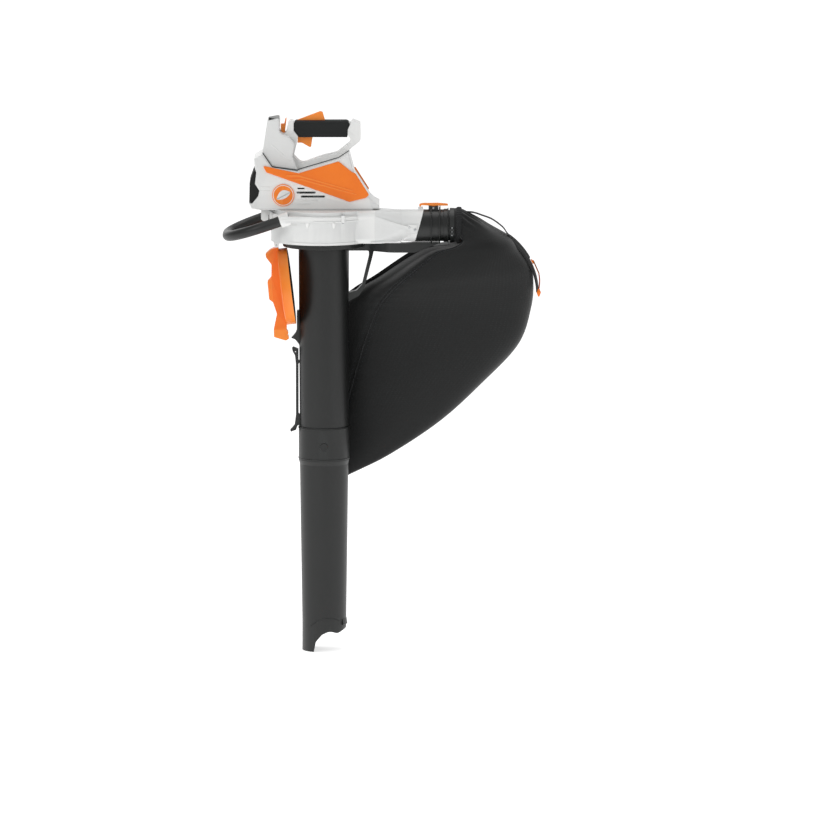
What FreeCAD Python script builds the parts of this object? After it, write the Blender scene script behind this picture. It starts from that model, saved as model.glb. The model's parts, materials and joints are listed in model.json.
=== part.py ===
import FreeCAD, Part
import math
import os
import Sketcher
from FreeCAD import Placement, Rotation, Vector

# Leaf vacuum mulcher: a hand-held machine with a suction tube, a fan that shreds, and a bag.
# X points towards the bag, Z up along the suction tube, Y to the far side of the grip.
# The origin lies on the tube axis, where the slanted suction mouth becomes a full round bore.
# The operator's left half of the casing is on -Y and is called left below.

# Driving dimensions in millimetres and degrees: alias, value, what it measures.
SIZES = [
    ("bore_radius", 47.5, "suction mouth, inside"),
    ("tube_wall", 2.5, "wall of both suction tubes"),
    ("mouth_drop", 64.0, "length of the scoop below the round bore"),
    ("bore_straight", 60.0, "straight part of the bore"),
    ("lower_length", 373.0, "origin to the foot of the bell"),
    ("bell_length", 77.0, "bell that grips the upper tube"),
    ("seat_depth", 60.0, "depth of the upper tube in the bell"),
    ("slide_gap", 0.4, "gap round a sliding fit"),
    ("upper_radius", 54.75, "upper tube, outside, at its foot"),
    ("upper_flare", 2.5, "growth of that radius up to the flange"),
    ("flange_level", 861.0, "underside of the tube flange"),
    ("flange_radius", 93.0, "tube flange"),
    ("flange_thick", 11.0, "tube flange"),
    ("seal_thick", 2.0, "foam ring on the flange"),
    ("drum_radius", 114.0, "fan housing, outside"),
    ("drum_offset", 6.0, "fan housing centre behind the fan axis"),
    ("drum_height", 75.0, "fan housing, floor to roof"),
    ("bowl_height", 59.0, "floor to the joint of the two fan casings"),
    ("rim_reach", 4.0, "clamping rim beyond the drum"),
    ("rim_half", 7.0, "clamping rim above and below its joint"),
    ("wall", 3.0, "moulded walls"),
    ("inlet_radius", 51.0, "inlet in the fan housing floor"),
    ("duct_side", 45.0, "discharge axis towards the left side"),
    ("duct_rise", 39.0, "discharge axis above the floor"),
    ("duct_radius", 36.0, "discharge pipe, outside"),
    ("duct_wall", 2.5, "discharge pipe"),
    ("duct_start", 115.0, "joint of fan housing and discharge pipe"),
    ("duct_end", 216.0, "slanted end of the pipe, at its axis"),
    ("duct_slant", 15.5, "slant of that end"),
    ("shell_half", 62.0, "half width of the motor housing"),
    ("shell_round", 4.0, "rounding of casing edges"),
    ("panel_thick", 4.0, "side panels"),
    ("tower_half", 43.0, "half width of the battery tower"),
    ("frame_half", 22.0, "half width of the handle frame"),
    ("core_half", 15.5, "half width of the bar inside the grip"),
    ("grip_half", 19.0, "half width of the grip sleeve"),
    ("grip_skin", 4.0, "thickness of the grip sleeve above and below"),
    ("seam", 2.0, "gasket between handle and motor housing"),
    ("slot_half", 7.0, "half width of the lever slot in the grip"),
    ("side_play", 0.5, "play beside a lever"),
    ("pin_radius", 2.0, "lever pins"),
    ("pin_gap", 0.05, "running gap round a pin or shaft"),
    ("bay_half", 40.0, "half width of the battery bay"),
    ("tray_wall", 1.5, "battery tray"),
    ("shaft_radius", 4.0, "motor shaft"),
    ("bearing_radius", 11.0, "motor bearings, outside"),
    ("bearing_width", 7.0, "motor bearings"),
    ("rotor_radius", 23.4, "motor rotor"),
    ("air_gap", 0.6, "rotor to stator"),
    ("stator_radius", 38.0, "motor stator"),
    ("stator_height", 44.0, "motor stator"),
    ("can_wall", 3.0, "motor frame"),
    ("fan_radius", 92.0, "impeller"),
    ("fan_height", 42.0, "impeller blades"),
    ("fan_clear", 12.0, "impeller above the floor"),
    ("hub_radius", 17.0, "impeller hub"),
    ("loop_radius", 12.0, "bar of the front loop handle"),
    ("loop_half", 100.0, "half width of that loop"),
    ("loop_reach", 126.0, "length of that loop"),
    ("loop_bend", 86.0, "bend radius of that loop"),
    ("loop_tilt", 19.0, "droop of that loop"),
    ("cover_radius", 87.0, "intake cover"),
    ("cover_depth", 22.0, "rim of the intake cover"),
    ("cover_wall", 3.0, "intake cover"),
    ("cover_tilt", 6.9, "lean of the hanging cover"),
    ("hinge_reach", 107.0, "cover hinge in front of the tube axis"),
    ("hinge_drop", 8.0, "cover hinge below the fan housing"),
    ("knuckle_radius", 5.0, "cover hinge knuckle"),
    ("arm_half", 11.0, "half width of the bag carrier arm"),
    ("sleeve_end", 302.0, "end of the connector sleeve"),
    ("spigot_length", 46.0, "connector spigot inside the pipe"),
    ("collar_radius", 35.0, "seat of the bag neck"),
    ("cloth", 1.5, "bag fabric"),
    ("clamp_band", 2.4, "bag clamp ring"),
    ("clamp_width", 10.0, "bag clamp ring"),
    ("tooth_radius", 164.0, "arc of the bag zip"),
    ("cord_radius", 1.5, "cord of the zip pull"),
]

doc = FreeCAD.newDocument("leaf_vacuum_mulcher")
sheet = doc.addObject("Spreadsheet::Sheet", "Sizes")


class Term:
    """A number that remembers the sheet expression it was worked out from."""

    def __init__(self, value, text=None):
        self.value = float(value)
        self.text = text or repr(round(float(value), 6))

    def __add__(self, other):
        other = term(other)
        return Term(self.value + other.value, f"({self.text} + {other.text})")

    def __sub__(self, other):
        other = term(other)
        return Term(self.value - other.value, f"({self.text} - {other.text})")

    def __mul__(self, other):
        other = term(other)
        return Term(self.value * other.value, f"({self.text} * {other.text})")

    def __truediv__(self, other):
        other = term(other)
        return Term(self.value / other.value, f"({self.text} / {other.text})")

    def __neg__(self):
        return Term(-self.value, f"(-1 * {self.text})")

    def __rsub__(self, other):
        return term(other) - self

    __radd__ = __add__
    __rmul__ = __mul__


def term(thing):
    return thing if isinstance(thing, Term) else Term(thing)


def value(thing):
    return term(thing).value


class Dimensions:
    """The sheet's cells as attributes, each one a Term."""


D = Dimensions()
for row, (alias, number, note) in enumerate(SIZES, start=1):
    sheet.set(f"A{row}", note)
    sheet.set(f"B{row}", repr(number))
    sheet.setAlias(f"B{row}", alias)
    setattr(D, alias, Term(number, f"Sizes.{alias}"))
doc.recompute()

nodes = {}


def node(label, thing):
    """Name a finished sub-part; its label becomes its file name."""
    thing.Label = label
    nodes[label] = thing
    return thing


def bind(thing, prop, size):
    """Set a property and tie it to the sheet when its size comes from there."""
    size = term(size)
    if "Sizes." in size.text:
        thing.setExpression(prop, size.text)
    else:
        thing.setExpression(prop, repr(size.value))


# ---------------------------------------------------------------- sketches and features

def new_body(name):
    return doc.addObject("PartDesign::Body", name)


def new_sketch(body, plane, offset=0):
    """A sketch on one of the body's own planes. XZ faces -Y, YZ faces +X, XY faces +Z."""
    sketch = body.newObject("Sketcher::SketchObject", "Sketch")
    support = [item for item in body.Origin.OriginFeatures if item.Role == plane + "_Plane"][0]
    sketch.AttachmentSupport = [(support, "")]
    sketch.MapMode = "FlatFace"
    bind(sketch, "AttachmentOffset.Base.z", offset)
    return sketch


def constrain(sketch, constraints, sized):
    """Add free constraints, then sized ones, each a (kind, geometry..., size) tuple."""
    sketch.addConstraint(constraints)
    first = len(sketch.Constraints)
    sketch.addConstraint([Sketcher.Constraint(*item[:-1], value(item[-1])) for item in sized])
    for index, item in enumerate(sized, start=first):
        size = term(item[-1])
        if "Sizes." in size.text:
            sketch.setExpression(f"Constraints[{index}]", size.text)


def corner_arc(before, here, after, radius):
    """Tangent points and arc that round the corner at here."""
    back = (before - here).normalize()
    ahead = (after - here).normalize()
    half = back.getAngle(ahead) / 2
    enters = here + back * (radius / math.tan(half))
    leaves = here + ahead * (radius / math.tan(half))
    centre = here + (back + ahead).normalize() * (radius / math.sin(half))
    start, stop = enters, leaves
    left_turn = back.cross(ahead).z < 0
    if not left_turn:
        start, stop = leaves, enters
    first = math.atan2(start.y - centre.y, start.x - centre.x)
    last = math.atan2(stop.y - centre.y, stop.x - centre.x)
    circle = Part.Circle(centre, Vector(0, 0, 1), radius)
    return enters, leaves, Part.ArcOfCircle(circle, first, last), left_turn


def outline(sketch, corners, closed=True):
    """Lines through corners (across, up[, radius]); a radius rounds that corner."""
    points = [Vector(value(corner[0]), value(corner[1]), 0) for corner in corners]
    count = len(points)
    first_line = sketch.GeometryCount
    lines = count if closed else count - 1
    rounds = {}
    for index, corner in enumerate(corners):
        inside = closed or 0 < index < count - 1
        if len(corner) > 2 and inside:
            neighbours = points[index - 1], points[index], points[(index + 1) % count]
            rounds[index] = corner_arc(*neighbours, value(corner[2]))
    segments = []
    for index in range(lines):
        after = (index + 1) % count
        start = rounds[index][1] if index in rounds else points[index]
        stop = rounds[after][0] if after in rounds else points[after]
        segments.append(Part.LineSegment(start, stop))
    sketch.addGeometry(segments)
    free = []
    sized = []
    for index, corner in enumerate(corners):
        line = first_line + index
        before = first_line + (index - 1) % count
        if index in rounds:
            left_turn = rounds[index][3]
            arc = sketch.addGeometry(rounds[index][2])
            spot = sketch.addGeometry(Part.Point(points[index]), True)
            arc_in, arc_out = (1, 2) if left_turn else (2, 1)
            free.append(Sketcher.Constraint("Tangent", before, 2, arc, arc_in))
            free.append(Sketcher.Constraint("Tangent", arc, arc_out, line, 1))
            free.append(Sketcher.Constraint("PointOnObject", spot, 1, before))
            free.append(Sketcher.Constraint("PointOnObject", spot, 1, line))
            sized.append(("Radius", arc, corner[2]))
            held = (spot, 1)
        elif closed or index < count - 1:
            if closed or index > 0:
                free.append(Sketcher.Constraint("Coincident", before, 2, line, 1))
            held = (line, 1)
        else:
            held = (before, 2)
        sized.append(("DistanceX", *held, corner[0]))
        sized.append(("DistanceY", *held, corner[1]))
    constrain(sketch, free, sized)


def ring(sketch, across, up, radius):
    """A circle in a sketch."""
    centre = Vector(value(across), value(up), 0)
    circle = sketch.addGeometry(Part.Circle(centre, Vector(0, 0, 1), value(radius)))
    sized = [("DistanceX", circle, 3, across), ("DistanceY", circle, 3, up), ("Radius", circle, radius)]
    constrain(sketch, [], sized)


def extrude(body, kind, sketch, length, reverse=False, middle=False):
    feature = body.newObject("PartDesign::" + kind, kind)
    feature.Profile = sketch
    bind(feature, "Length", length)
    feature.Reversed = reverse
    feature.Midplane = middle
    sketch.Visibility = False
    return feature


def pad(body, sketch, length, reverse=False, middle=False):
    return extrude(body, "Pad", sketch, length, reverse, middle)


def pocket(body, sketch, length, reverse=False, middle=False):
    return extrude(body, "Pocket", sketch, length, reverse, middle)


def spin(body, kind, sketch, axis="V_Axis", angle=360, middle=False):
    """Revolution or Groove of a sketch round one of its own axes."""
    feature = body.newObject("PartDesign::" + kind, kind)
    feature.Profile = sketch
    feature.ReferenceAxis = (sketch, [axis])
    bind(feature, "Angle", angle)
    feature.Midplane = middle
    return feature


def soften(body, radius, chosen):
    """Fillet the edges of the body's last feature that the test picks."""
    doc.recompute()
    last = body.Tip
    names = [f"Edge{number}" for number, edge in enumerate(last.Shape.Edges, 1) if chosen(edge)]
    feature = body.newObject("PartDesign::Fillet", "Fillet")
    feature.Base = (last, names)
    bind(feature, "Radius", radius)
    return feature


def lies_at(axis, place):
    """Edge test: the whole edge lies in the plane where that coordinate has that value."""
    place = value(place)

    def test(edge):
        box = edge.BoundBox
        low, high = {"x": (box.XMin, box.XMax), "y": (box.YMin, box.YMax), "z": (box.ZMin, box.ZMax)}[axis]
        return abs(low - place) < 1e-4 and abs(high - place) < 1e-4

    return test


def inset(corners, distance):
    """Corners of the outline that lies a distance inside a clockwise one, with sharp corners."""
    points = [Vector(value(corner[0]), value(corner[1]), 0) for corner in corners]
    moved = []
    for index, here in enumerate(points):
        before = (here - points[index - 1]).normalize()
        after = (points[(index + 1) % len(points)] - here).normalize()
        inward = Vector(before.y + after.y, -before.x - after.x, 0)
        inward = inward * (value(distance) / (1 + before.dot(after)))
        moved.append((here.x + inward.x, here.y + inward.y))
    return moved


def shift(corners, across=0, up=0):
    """Outline corners moved together."""
    return [(corner[0] + across, corner[1] + up) + tuple(corner[2:]) for corner in corners]


# ---------------------------------------------------------------- primitives and booleans

def set_place(thing, x, y, z):
    bind(thing, "Placement.Base.x", x)
    bind(thing, "Placement.Base.y", y)
    bind(thing, "Placement.Base.z", z)


TURNS = {"Z": Rotation(), "X": Rotation(Vector(0, 1, 0), 90), "Y": Rotation(Vector(1, 0, 0), -90)}


def rod(name, x, y, z, axis, radius, length):
    """A cylinder that starts at a point and runs along +X, +Y or +Z."""
    thing = doc.addObject("Part::Cylinder", name)
    thing.Placement = Placement(Vector(), TURNS[axis])
    bind(thing, "Radius", radius)
    bind(thing, "Height", length)
    set_place(thing, x, y, z)
    return thing


def block(name, x, y, z, length, width, height):
    """A box given by its lowest corner and its sizes along X, Y and Z."""
    thing = doc.addObject("Part::Box", name)
    bind(thing, "Length", length)
    bind(thing, "Width", width)
    bind(thing, "Height", height)
    set_place(thing, x, y, z)
    return thing


def fused(name, *pieces):
    thing = doc.addObject("Part::MultiFuse", name)
    thing.Shapes = list(pieces)
    thing.Refine = True
    return thing


def cut(name, base, *tools):
    thing = doc.addObject("Part::Cut", name)
    thing.Base = base
    thing.Tool = tools[0] if len(tools) == 1 else fused(name + "_tools", *tools)
    thing.Refine = True
    return thing


def common(name, base, tool):
    thing = doc.addObject("Part::Common", name)
    thing.Base = base
    thing.Tool = tool
    thing.Refine = True
    return thing


def feature(name, shape):
    """A shape worked out with Part's own functions, for forms that have no sketch."""
    thing = doc.addObject("Part::Feature", name)
    thing.Shape = shape
    return thing


def plate(name, corners, half, offset=0):
    """A PartDesign body: an XZ outline padded evenly about the plane y = -offset."""
    body = new_body(name)
    sketch = new_sketch(body, "XZ", offset)
    outline(sketch, corners)
    pad(body, sketch, half * 2, middle=True)
    return body


def turned(name, corners):
    """A PartDesign body: an (r, z) outline revolved round the Z axis."""
    body = new_body(name)
    sketch = new_sketch(body, "XZ")
    outline(sketch, corners)
    spin(body, "Revolution", sketch)
    return body


def coil(name, centre, radius, wire_radius, height, turns):
    """A compression spring that stands along Z on its centre point, of eight-sided wire."""
    rings = []
    for step in range(turns * COIL_STEPS + 1):
        angle = 2 * math.pi * step / COIL_STEPS
        out = Vector(math.cos(angle), math.sin(angle), 0)
        middle = out * radius + Vector(0, 0, height * step / (turns * COIL_STEPS))
        corners = []
        for corner in range(8):
            turn = math.pi * (2 * corner + 1) / 8
            corners.append(middle + out * (wire_radius * math.cos(turn)) + Vector(0, 0, wire_radius * math.sin(turn)))
        rings.append(Part.makePolygon(corners + corners[:1]))
    thing = feature(name, Part.makeLoft(rings, True, True))
    thing.Placement = Placement(centre, Rotation())
    return thing


COIL_STEPS = 12


# ---------------------------------------------------------------- shared levels

FLOOR = D.flange_level + D.flange_thick + D.seal_thick
JOINT = FLOOR + D.bowl_height
ROOF = FLOOR + D.drum_height
DUCT = FLOOR + D.duct_rise
TUBE_FOOT = D.lower_length + D.bell_length - D.seat_depth
BELL_TOP = D.lower_length + D.bell_length
HINGE = FLOOR - D.hinge_drop
BIG = 400


# ---------------------------------------------------------------- suction tubes

def lower_tube():
    """Lower suction tube: slanted scoop, long taper and the bell that holds the upper tube."""
    body = new_body("lower_tube")
    mouth = D.bore_radius
    bell = D.upper_radius + D.slide_gap
    sketch = new_sketch(body, "XZ")
    outline(sketch, [
        (mouth, -D.mouth_drop),
        (mouth + D.tube_wall, -D.mouth_drop),
        (mouth + D.tube_wall, 0),
        (bell, D.lower_length - 9),
        (bell + D.tube_wall, D.lower_length, 1.2),
        (bell + D.tube_wall, BELL_TOP, 1),
        (bell, BELL_TOP),
        (bell, TUBE_FOOT - 6),
        (bell - D.tube_wall, TUBE_FOOT - 9),
        (mouth, D.bore_straight),
    ])
    spin(body, "Revolution", sketch)
    scoop = new_sketch(body, "XZ")
    reach = mouth + D.tube_wall + 10
    outline(scoop, [
        (-25, -D.mouth_drop - 8),
        (-19, -41, 8),
        (-5, -24, 10),
        (12, -16, 20),
        (31, -22, 12),
        (reach, -7),
        (reach, -D.mouth_drop - 8),
    ])
    pocket(body, scoop, reach * 2, middle=True)
    lip = new_sketch(body, "XZ")
    outline(lip, [
        (mouth + D.tube_wall - 0.5, -4),
        (mouth + D.tube_wall + 3, -4, 1),
        (mouth + D.tube_wall + 1, 9),
        (mouth + D.tube_wall - 0.5, 9),
    ])
    spin(body, "Revolution", lip, angle=70, middle=True)
    eye = new_sketch(body, "XZ", bell - 20)
    ring(eye, 0, BUTTON_LEVEL, BUTTON_RADIUS + 0.3)
    pocket(body, eye, 40, reverse=True)
    return node("lower_tube", body)


BUTTON_LEVEL = D.lower_length + 35
BUTTON_RADIUS = term(9)


def upper_radius_at(level):
    """Outside radius of the upper tube at a height, as its straight taper gives it."""
    share = (level - TUBE_FOOT) / (D.flange_level - TUBE_FOOT)
    return D.upper_radius + D.upper_flare * share


def upper_tube():
    """Upper suction tube with its flange, a keyway for the lock button and the cover catch."""
    body = new_body("upper_tube")
    top = D.upper_radius + D.upper_flare
    level = D.flange_level
    sketch = new_sketch(body, "XZ")
    outline(sketch, [
        (D.upper_radius - D.tube_wall, TUBE_FOOT),
        (D.upper_radius, TUBE_FOOT),
        (top, level, 4),
        (D.flange_radius, level, 2),
        (D.flange_radius, level + D.flange_thick, 2),
        (top - D.tube_wall, level + D.flange_thick),
        (top - D.tube_wall, level),
    ])
    spin(body, "Revolution", sketch)
    key = new_sketch(body, "XZ")
    half = BUTTON_RADIUS + D.slide_gap
    outline(key, [
        (-half, TUBE_FOOT - 5),
        (half, TUBE_FOOT - 5),
        (half, BUTTON_LEVEL + half, half * 0.98),
        (-half, BUTTON_LEVEL + half, half * 0.98),
    ])
    pocket(body, key, D.upper_radius + 10, reverse=True)
    catch = new_sketch(body, "XZ")
    root = -(upper_radius_at(level - 180)) + 1.6
    outline(catch, shift([
        (0, 40), (-6.6, 40, 2), (-6.6, -4), (-10, -12, 4), (-19, -22.5), (-10, -26, 10), (-2, -37, 8), (0, -42),
    ], root, level - 187))
    pad(body, catch, 20, middle=True)
    return node("upper_tube", body)


def lock_button():
    """Round push button that locks the two tubes; its shank slides in the keyway."""
    face = D.upper_radius + D.slide_gap + D.tube_wall + 0.8
    body = new_body("lock_button")
    sketch = new_sketch(body, "XZ", face - 7)
    ring(sketch, 0, BUTTON_LEVEL, BUTTON_RADIUS)
    pad(body, sketch, 7)
    soften(body, 1, lies_at("y", -face))
    return node("lock_button", body)


def tube_solid(name, extra=0):
    """The solid cone that fills the upper tube's outside, used to fit pieces against it."""
    thing = doc.addObject("Part::Cone", name)
    bind(thing, "Radius1", D.upper_radius + extra)
    bind(thing, "Radius2", D.upper_radius + D.upper_flare + extra)
    bind(thing, "Height", D.flange_level - TUBE_FOOT)
    set_place(thing, 0, 0, TUBE_FOOT)
    return thing


def strap_cleat():
    """Upright bracket on the front of the tube with two hooks for a cord or strap."""
    base = BELL_TOP
    root = -D.upper_radius
    bar = plate("cleat_bar", shift([
        (4, 150), (-3, 150), (-3, 176), (-15, 181, 2), (-18, 178, 2), (-16, 170, 3), (-11, 161, 3), (-9, 142, 6),
        (-9, 26, 6), (-12, 2, 6), (-22, -9, 1.5), (-21, -14, 1.5), (-9, -9.5, 3), (-5, 1, 1), (4, 2), (4, 24),
        (-3, 28, 2), (-3, 142, 2),
    ], root, base), 6)
    hole = rod("cleat_hole", root - 10, -20, base + 169, "Y", 1.6, 40)
    return node("strap_cleat", cut("cleat", bar, tube_solid("cleat_seat"), hole))


def bag_carrier_arm():
    """Arm from the tube that carries the bag connector, with the D-shaped loop below it."""
    level = D.flange_level
    side_corners = [
        (48, 11.5), (D.duct_start + 70, 11.5), (D.duct_start + 91, 13.8), (D.duct_end + 45, 13.8),
        (D.duct_end + 45, 11.3), (D.duct_end - 10, -10, 12), (D.duct_start - 2, -10),
        (D.duct_start - 4, -20, 8), (93, -91, 10), (80, -113, 14), (48, -130),
    ]
    body = new_body("arm_side")
    sketch = new_sketch(body, "XZ")
    outline(sketch, shift(side_corners, 0, level))
    outline(sketch, shift([
        (50, -10), (102, -10, 3), (102, -22, 6), (86, -88, 9), (74, -101, 12), (50, -107),
    ], 0, level))
    pad(body, sketch, 160, middle=True)
    plan = new_body("arm_plan")
    above = new_sketch(plan, "XY", level - 150)
    half = D.arm_half
    outline(above, [
        (48, -half), (100, -half, 20), (150, -D.duct_side - half + 5, 30), (D.duct_end + 60, -D.duct_side - half + 5),
        (D.duct_end + 60, -D.duct_side + half + 5), (154, -D.duct_side + half + 5, 30), (122, half, 20), (48, half),
    ])
    pad(plan, above, 200)
    top = D.upper_radius + D.upper_flare
    relief = turned("arm_relief", [(0, level - 5), (top, level - 5), (top + 5, level), (0, level)])
    arm = cut("arm", common("arm_block", body, plan), tube_solid("arm_seat"), relief,
              rod("arm_flange", 0, 0, level, "Z", D.flange_radius, 60))
    return node("bag_carrier_arm", arm)


# ---------------------------------------------------------------- fan housing

def duct_box(name, inset, start, end):
    """Rounded rectangular stretch of the discharge duct."""
    body = new_body(name)
    sketch = new_sketch(body, "YZ", start)
    half = D.duct_radius + 2 - inset
    side = -D.duct_side
    top = ROOF - inset
    low = FLOOR + inset
    outline(sketch, [
        (side - half, low, 12 - inset), (side + half, low, 12 - inset),
        (side + half, top, 12 - inset), (side - half, top, 12 - inset),
    ])
    pad(body, sketch, end - start)
    return body


def drum(name, radius, low, height):
    return rod(name, -D.drum_offset, 0, low, "Z", radius, height)


def loop_socket(name, side, radius, start, length):
    """A cylinder on the axis of one end of the loop handle."""
    thing = doc.addObject("Part::Cylinder", name)
    bind(thing, "Radius", radius)
    bind(thing, "Height", length)
    turn = Rotation(Vector(0, 1, 0), 90 - value(D.loop_tilt))
    lean = math.radians(value(D.loop_tilt))
    step = Vector(math.cos(lean), 0, math.sin(lean)) * start
    thing.Placement = Placement(Vector(LOOP_X, side * value(D.loop_half), value(LOOP_Z)) + step, turn)
    return thing


LOOP_X = -98
LOOP_Z = FLOOR + 54
SOCKET_LENGTH = 22
RIM_SCREWS = (-65, 60, 100, 155, 200)


def rim_spots():
    """Centres of the screws that hold the two fan casings together."""
    reach = value(D.drum_radius + D.rim_reach) + 1.5
    turns = [math.radians(angle) for angle in RIM_SCREWS]
    return [(reach * math.cos(turn) - value(D.drum_offset), reach * math.sin(turn)) for turn in turns]


def rim_shoulder(name, side):
    """Straight shoulder that carries the clamping rim out to one end of the loop handle."""
    rim = D.drum_radius + D.rim_reach
    body = new_body(name)
    sketch = new_sketch(body, "XY", JOINT - D.rim_half)
    outline(sketch, [
        (LOOP_X, side * 80), (LOOP_X, side * (D.loop_half + 13)), (-60, side * (rim - 0.5)),
        (-16, side * (rim - 0.2)), (-16, side * 100),
    ])
    pad(body, sketch, D.rim_half * 2)
    return body


def fan_housing():
    """The two fan casings: a bowl with the inlet, and a lid with the lower motor bearing."""
    rim = D.drum_radius + D.rim_reach
    webs = []
    for side in (-1, 1):
        name = "left" if side < 0 else "right"
        webs.append(loop_socket("socket_" + name, side, D.loop_radius + 3, 0, SOCKET_LENGTH))
        low = -D.loop_half if side < 0 else D.loop_half - 30
        webs.append(block("web_" + name, LOOP_X + 3, low, JOINT - 15, 50, 30, 24))
        webs.append(rim_shoulder("shoulder_" + name, side))
    bores = [loop_socket("bore_" + str(side), side, D.loop_radius, -30, LOOP_INSET + 30.5) for side in (-1, 1)]
    for index, (x, y) in enumerate(rim_spots()):
        webs.append(rod(f"rim_lug_{index}", x, y, JOINT - D.rim_half, "Z", 4.2, 16))
        bores.append(rod(f"rim_hole_{index}", x, y, JOINT - D.rim_half - 5, "Z", SCREW_RADIUS, 30))
    outer = fused("fan_outer", drum("drum", D.drum_radius, FLOOR, D.drum_height),
                  drum("rim", rim, JOINT - D.rim_half, D.rim_half * 2),
                  duct_box("root_outer", term(0), term(20), D.duct_start), *webs)
    inner = drum("chamber", D.drum_radius - D.wall, FLOOR + D.wall, D.drum_height - D.wall * 2)
    hollow = cut("fan_hollow", outer, inner, duct_box("root_inner", D.wall, term(10), D.duct_start + 5),
                 rod("inlet", 0, 0, FLOOR - 5, "Z", D.inlet_radius, 20), *bores)
    below = block("below", -BIG, -BIG, 0, BIG * 2, BIG * 2, JOINT)
    above = block("above", -BIG, -BIG, JOINT, BIG * 2, BIG * 2, 300)
    lugs = []
    for side in (-1, 1):
        low = 21.5 if side > 0 else -28.5
        lugs.append(plate("lug_" + str(side), shift([
            (-7, 8.5), (-5, -2, 3), (-3, -6, 3), (3, -6, 3), (5, -2, 3), (9, 8.5),
        ], -D.hinge_reach, HINGE), 3.5, -(low + 3.5)))
    pin_hole = rod("hinge_bore", -D.hinge_reach, -40, HINGE, "Y", D.pin_radius, 80)
    bowl = cut("bowl", fused("bowl_lugs", common("bowl_half", hollow, below), *lugs), pin_hole)
    node("fan_housing_lower", bowl)

    hub = rod("hub", 0, 0, ROOF - 7, "Z", D.bearing_radius + 4, 17)
    seat = rod("hub_seat", 0, 0, ROOF - 1, "Z", D.bearing_radius, 20)
    throat = rod("hub_throat", 0, 0, ROOF - 20, "Z", D.shaft_radius + 2, 40)
    bracket = plate("front_bracket", shift([
        (-136, 0), (-136, -26, 3), (-132, -30, 3), (-122, -30, 3), (-119.3, -26),
        (-119.3, -15.8), (-106, -15.8), (-106, 0),
    ], -D.drum_offset, ROOF), 14)
    lid = cut("lid", fused("lid_parts", common("lid_half", hollow, above), hub, bracket), seat, throat)
    node("fan_housing_upper", lid)


def rounded_wire(place, side, level, wide, high, radius):
    """A rounded rectangle across the duct, as four corner arcs and the lines between them."""
    signs = [(1, 1), (-1, 1), (-1, -1), (1, -1)]
    edges = []
    for index, (toward_y, toward_z) in enumerate(signs):
        centre = Vector(place, side + toward_y * (wide - radius), level + toward_z * (high - radius))
        start = math.pi / 2 * index
        spots = [centre + Vector(0, radius * math.cos(angle), radius * math.sin(angle))
                 for angle in (start, start + math.pi / 4, start + math.pi / 2)]
        edges.append(Part.Arc(*spots).toShape())
        next_y, next_z = signs[(index + 1) % 4]
        after = Vector(place, side + next_y * (wide - radius), level + next_z * (high - radius))
        ahead = after + (spots[2] - centre)
        edges.append(Part.LineSegment(spots[2], ahead).toShape())
    return Part.Wire(edges)


def duct_shape(inset, start, end):
    """Discharge pipe: from the rounded box of the housing to a round pipe."""
    half = value(D.duct_radius) + 2 - inset
    tall = value(D.drum_height) / 2 - inset
    side = -value(D.duct_side)
    pipe = value(D.duct_radius) - inset
    box_level = value(FLOOR) + value(D.drum_height) / 2
    sections = [
        rounded_wire(start, side, box_level, half, tall, 12 - inset),
        rounded_wire(start + 15, side, box_level, half, tall, 14 - inset),
        rounded_wire(start + 62, side, value(DUCT), pipe, pipe, pipe - 0.2),
    ]
    loft = Part.makeLoft(sections, True, True)
    round_pipe = Part.makeCylinder(pipe, end - start - 62, Vector(start + 62, side, value(DUCT)), Vector(1, 0, 0))
    return loft.fuse(round_pipe)


def slanted(name, gap):
    """Everything beyond the slanted end plane of the discharge pipe."""
    thing = doc.addObject("Part::Box", name)
    bind(thing, "Length", 200)
    bind(thing, "Width", 200)
    bind(thing, "Height", 200)
    lean = Rotation(Vector(0, 1, 0), value(D.duct_slant))
    corner = Vector(value(D.duct_end) + gap, -value(D.duct_side) - 100, value(DUCT))
    thing.Placement = Placement(corner + lean.multVec(Vector(0, 0, -100)), lean)
    return thing


def discharge_duct():
    """White discharge pipe with its diagonal rib, clamp boss and the lug that the latch grips."""
    start = value(D.duct_start)
    end = value(D.duct_end) + 25
    wall = value(D.duct_wall)
    outer = feature("duct_outer", duct_shape(0, start, end))
    inner = feature("duct_inner", duct_shape(wall, start, end + 1))
    ends = block("duct_mouth", start - 10, -D.duct_side - 60, DUCT - 60, 10, 120, 120)
    rib = plate("duct_rib", shift([
        (2, 25), (2, 17), (48, 1, 30), (87, -9), (87, -2), (48, 9, 30),
    ], D.duct_start, DUCT), 4.5, D.duct_side + 35.5)
    boss = plate("duct_boss", shift([
        (74, -14, 2), (95, -14, 2), (97, 4, 2), (76, 6, 2),
    ], D.duct_start, DUCT), 4, D.duct_side + 34.8)
    lug = block("duct_lug", D.duct_end - 3, -D.duct_side - 7, DUCT + D.duct_radius - 4, 12, 14, 9.5)
    duct = cut("duct", fused("duct_body", outer, rib, boss, lug), inner, ends, slanted("duct_slant", 0))
    return node("discharge_duct", duct)


# ---------------------------------------------------------------- motor and fan

MOTOR_FOOT = ROOF + 21


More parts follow.
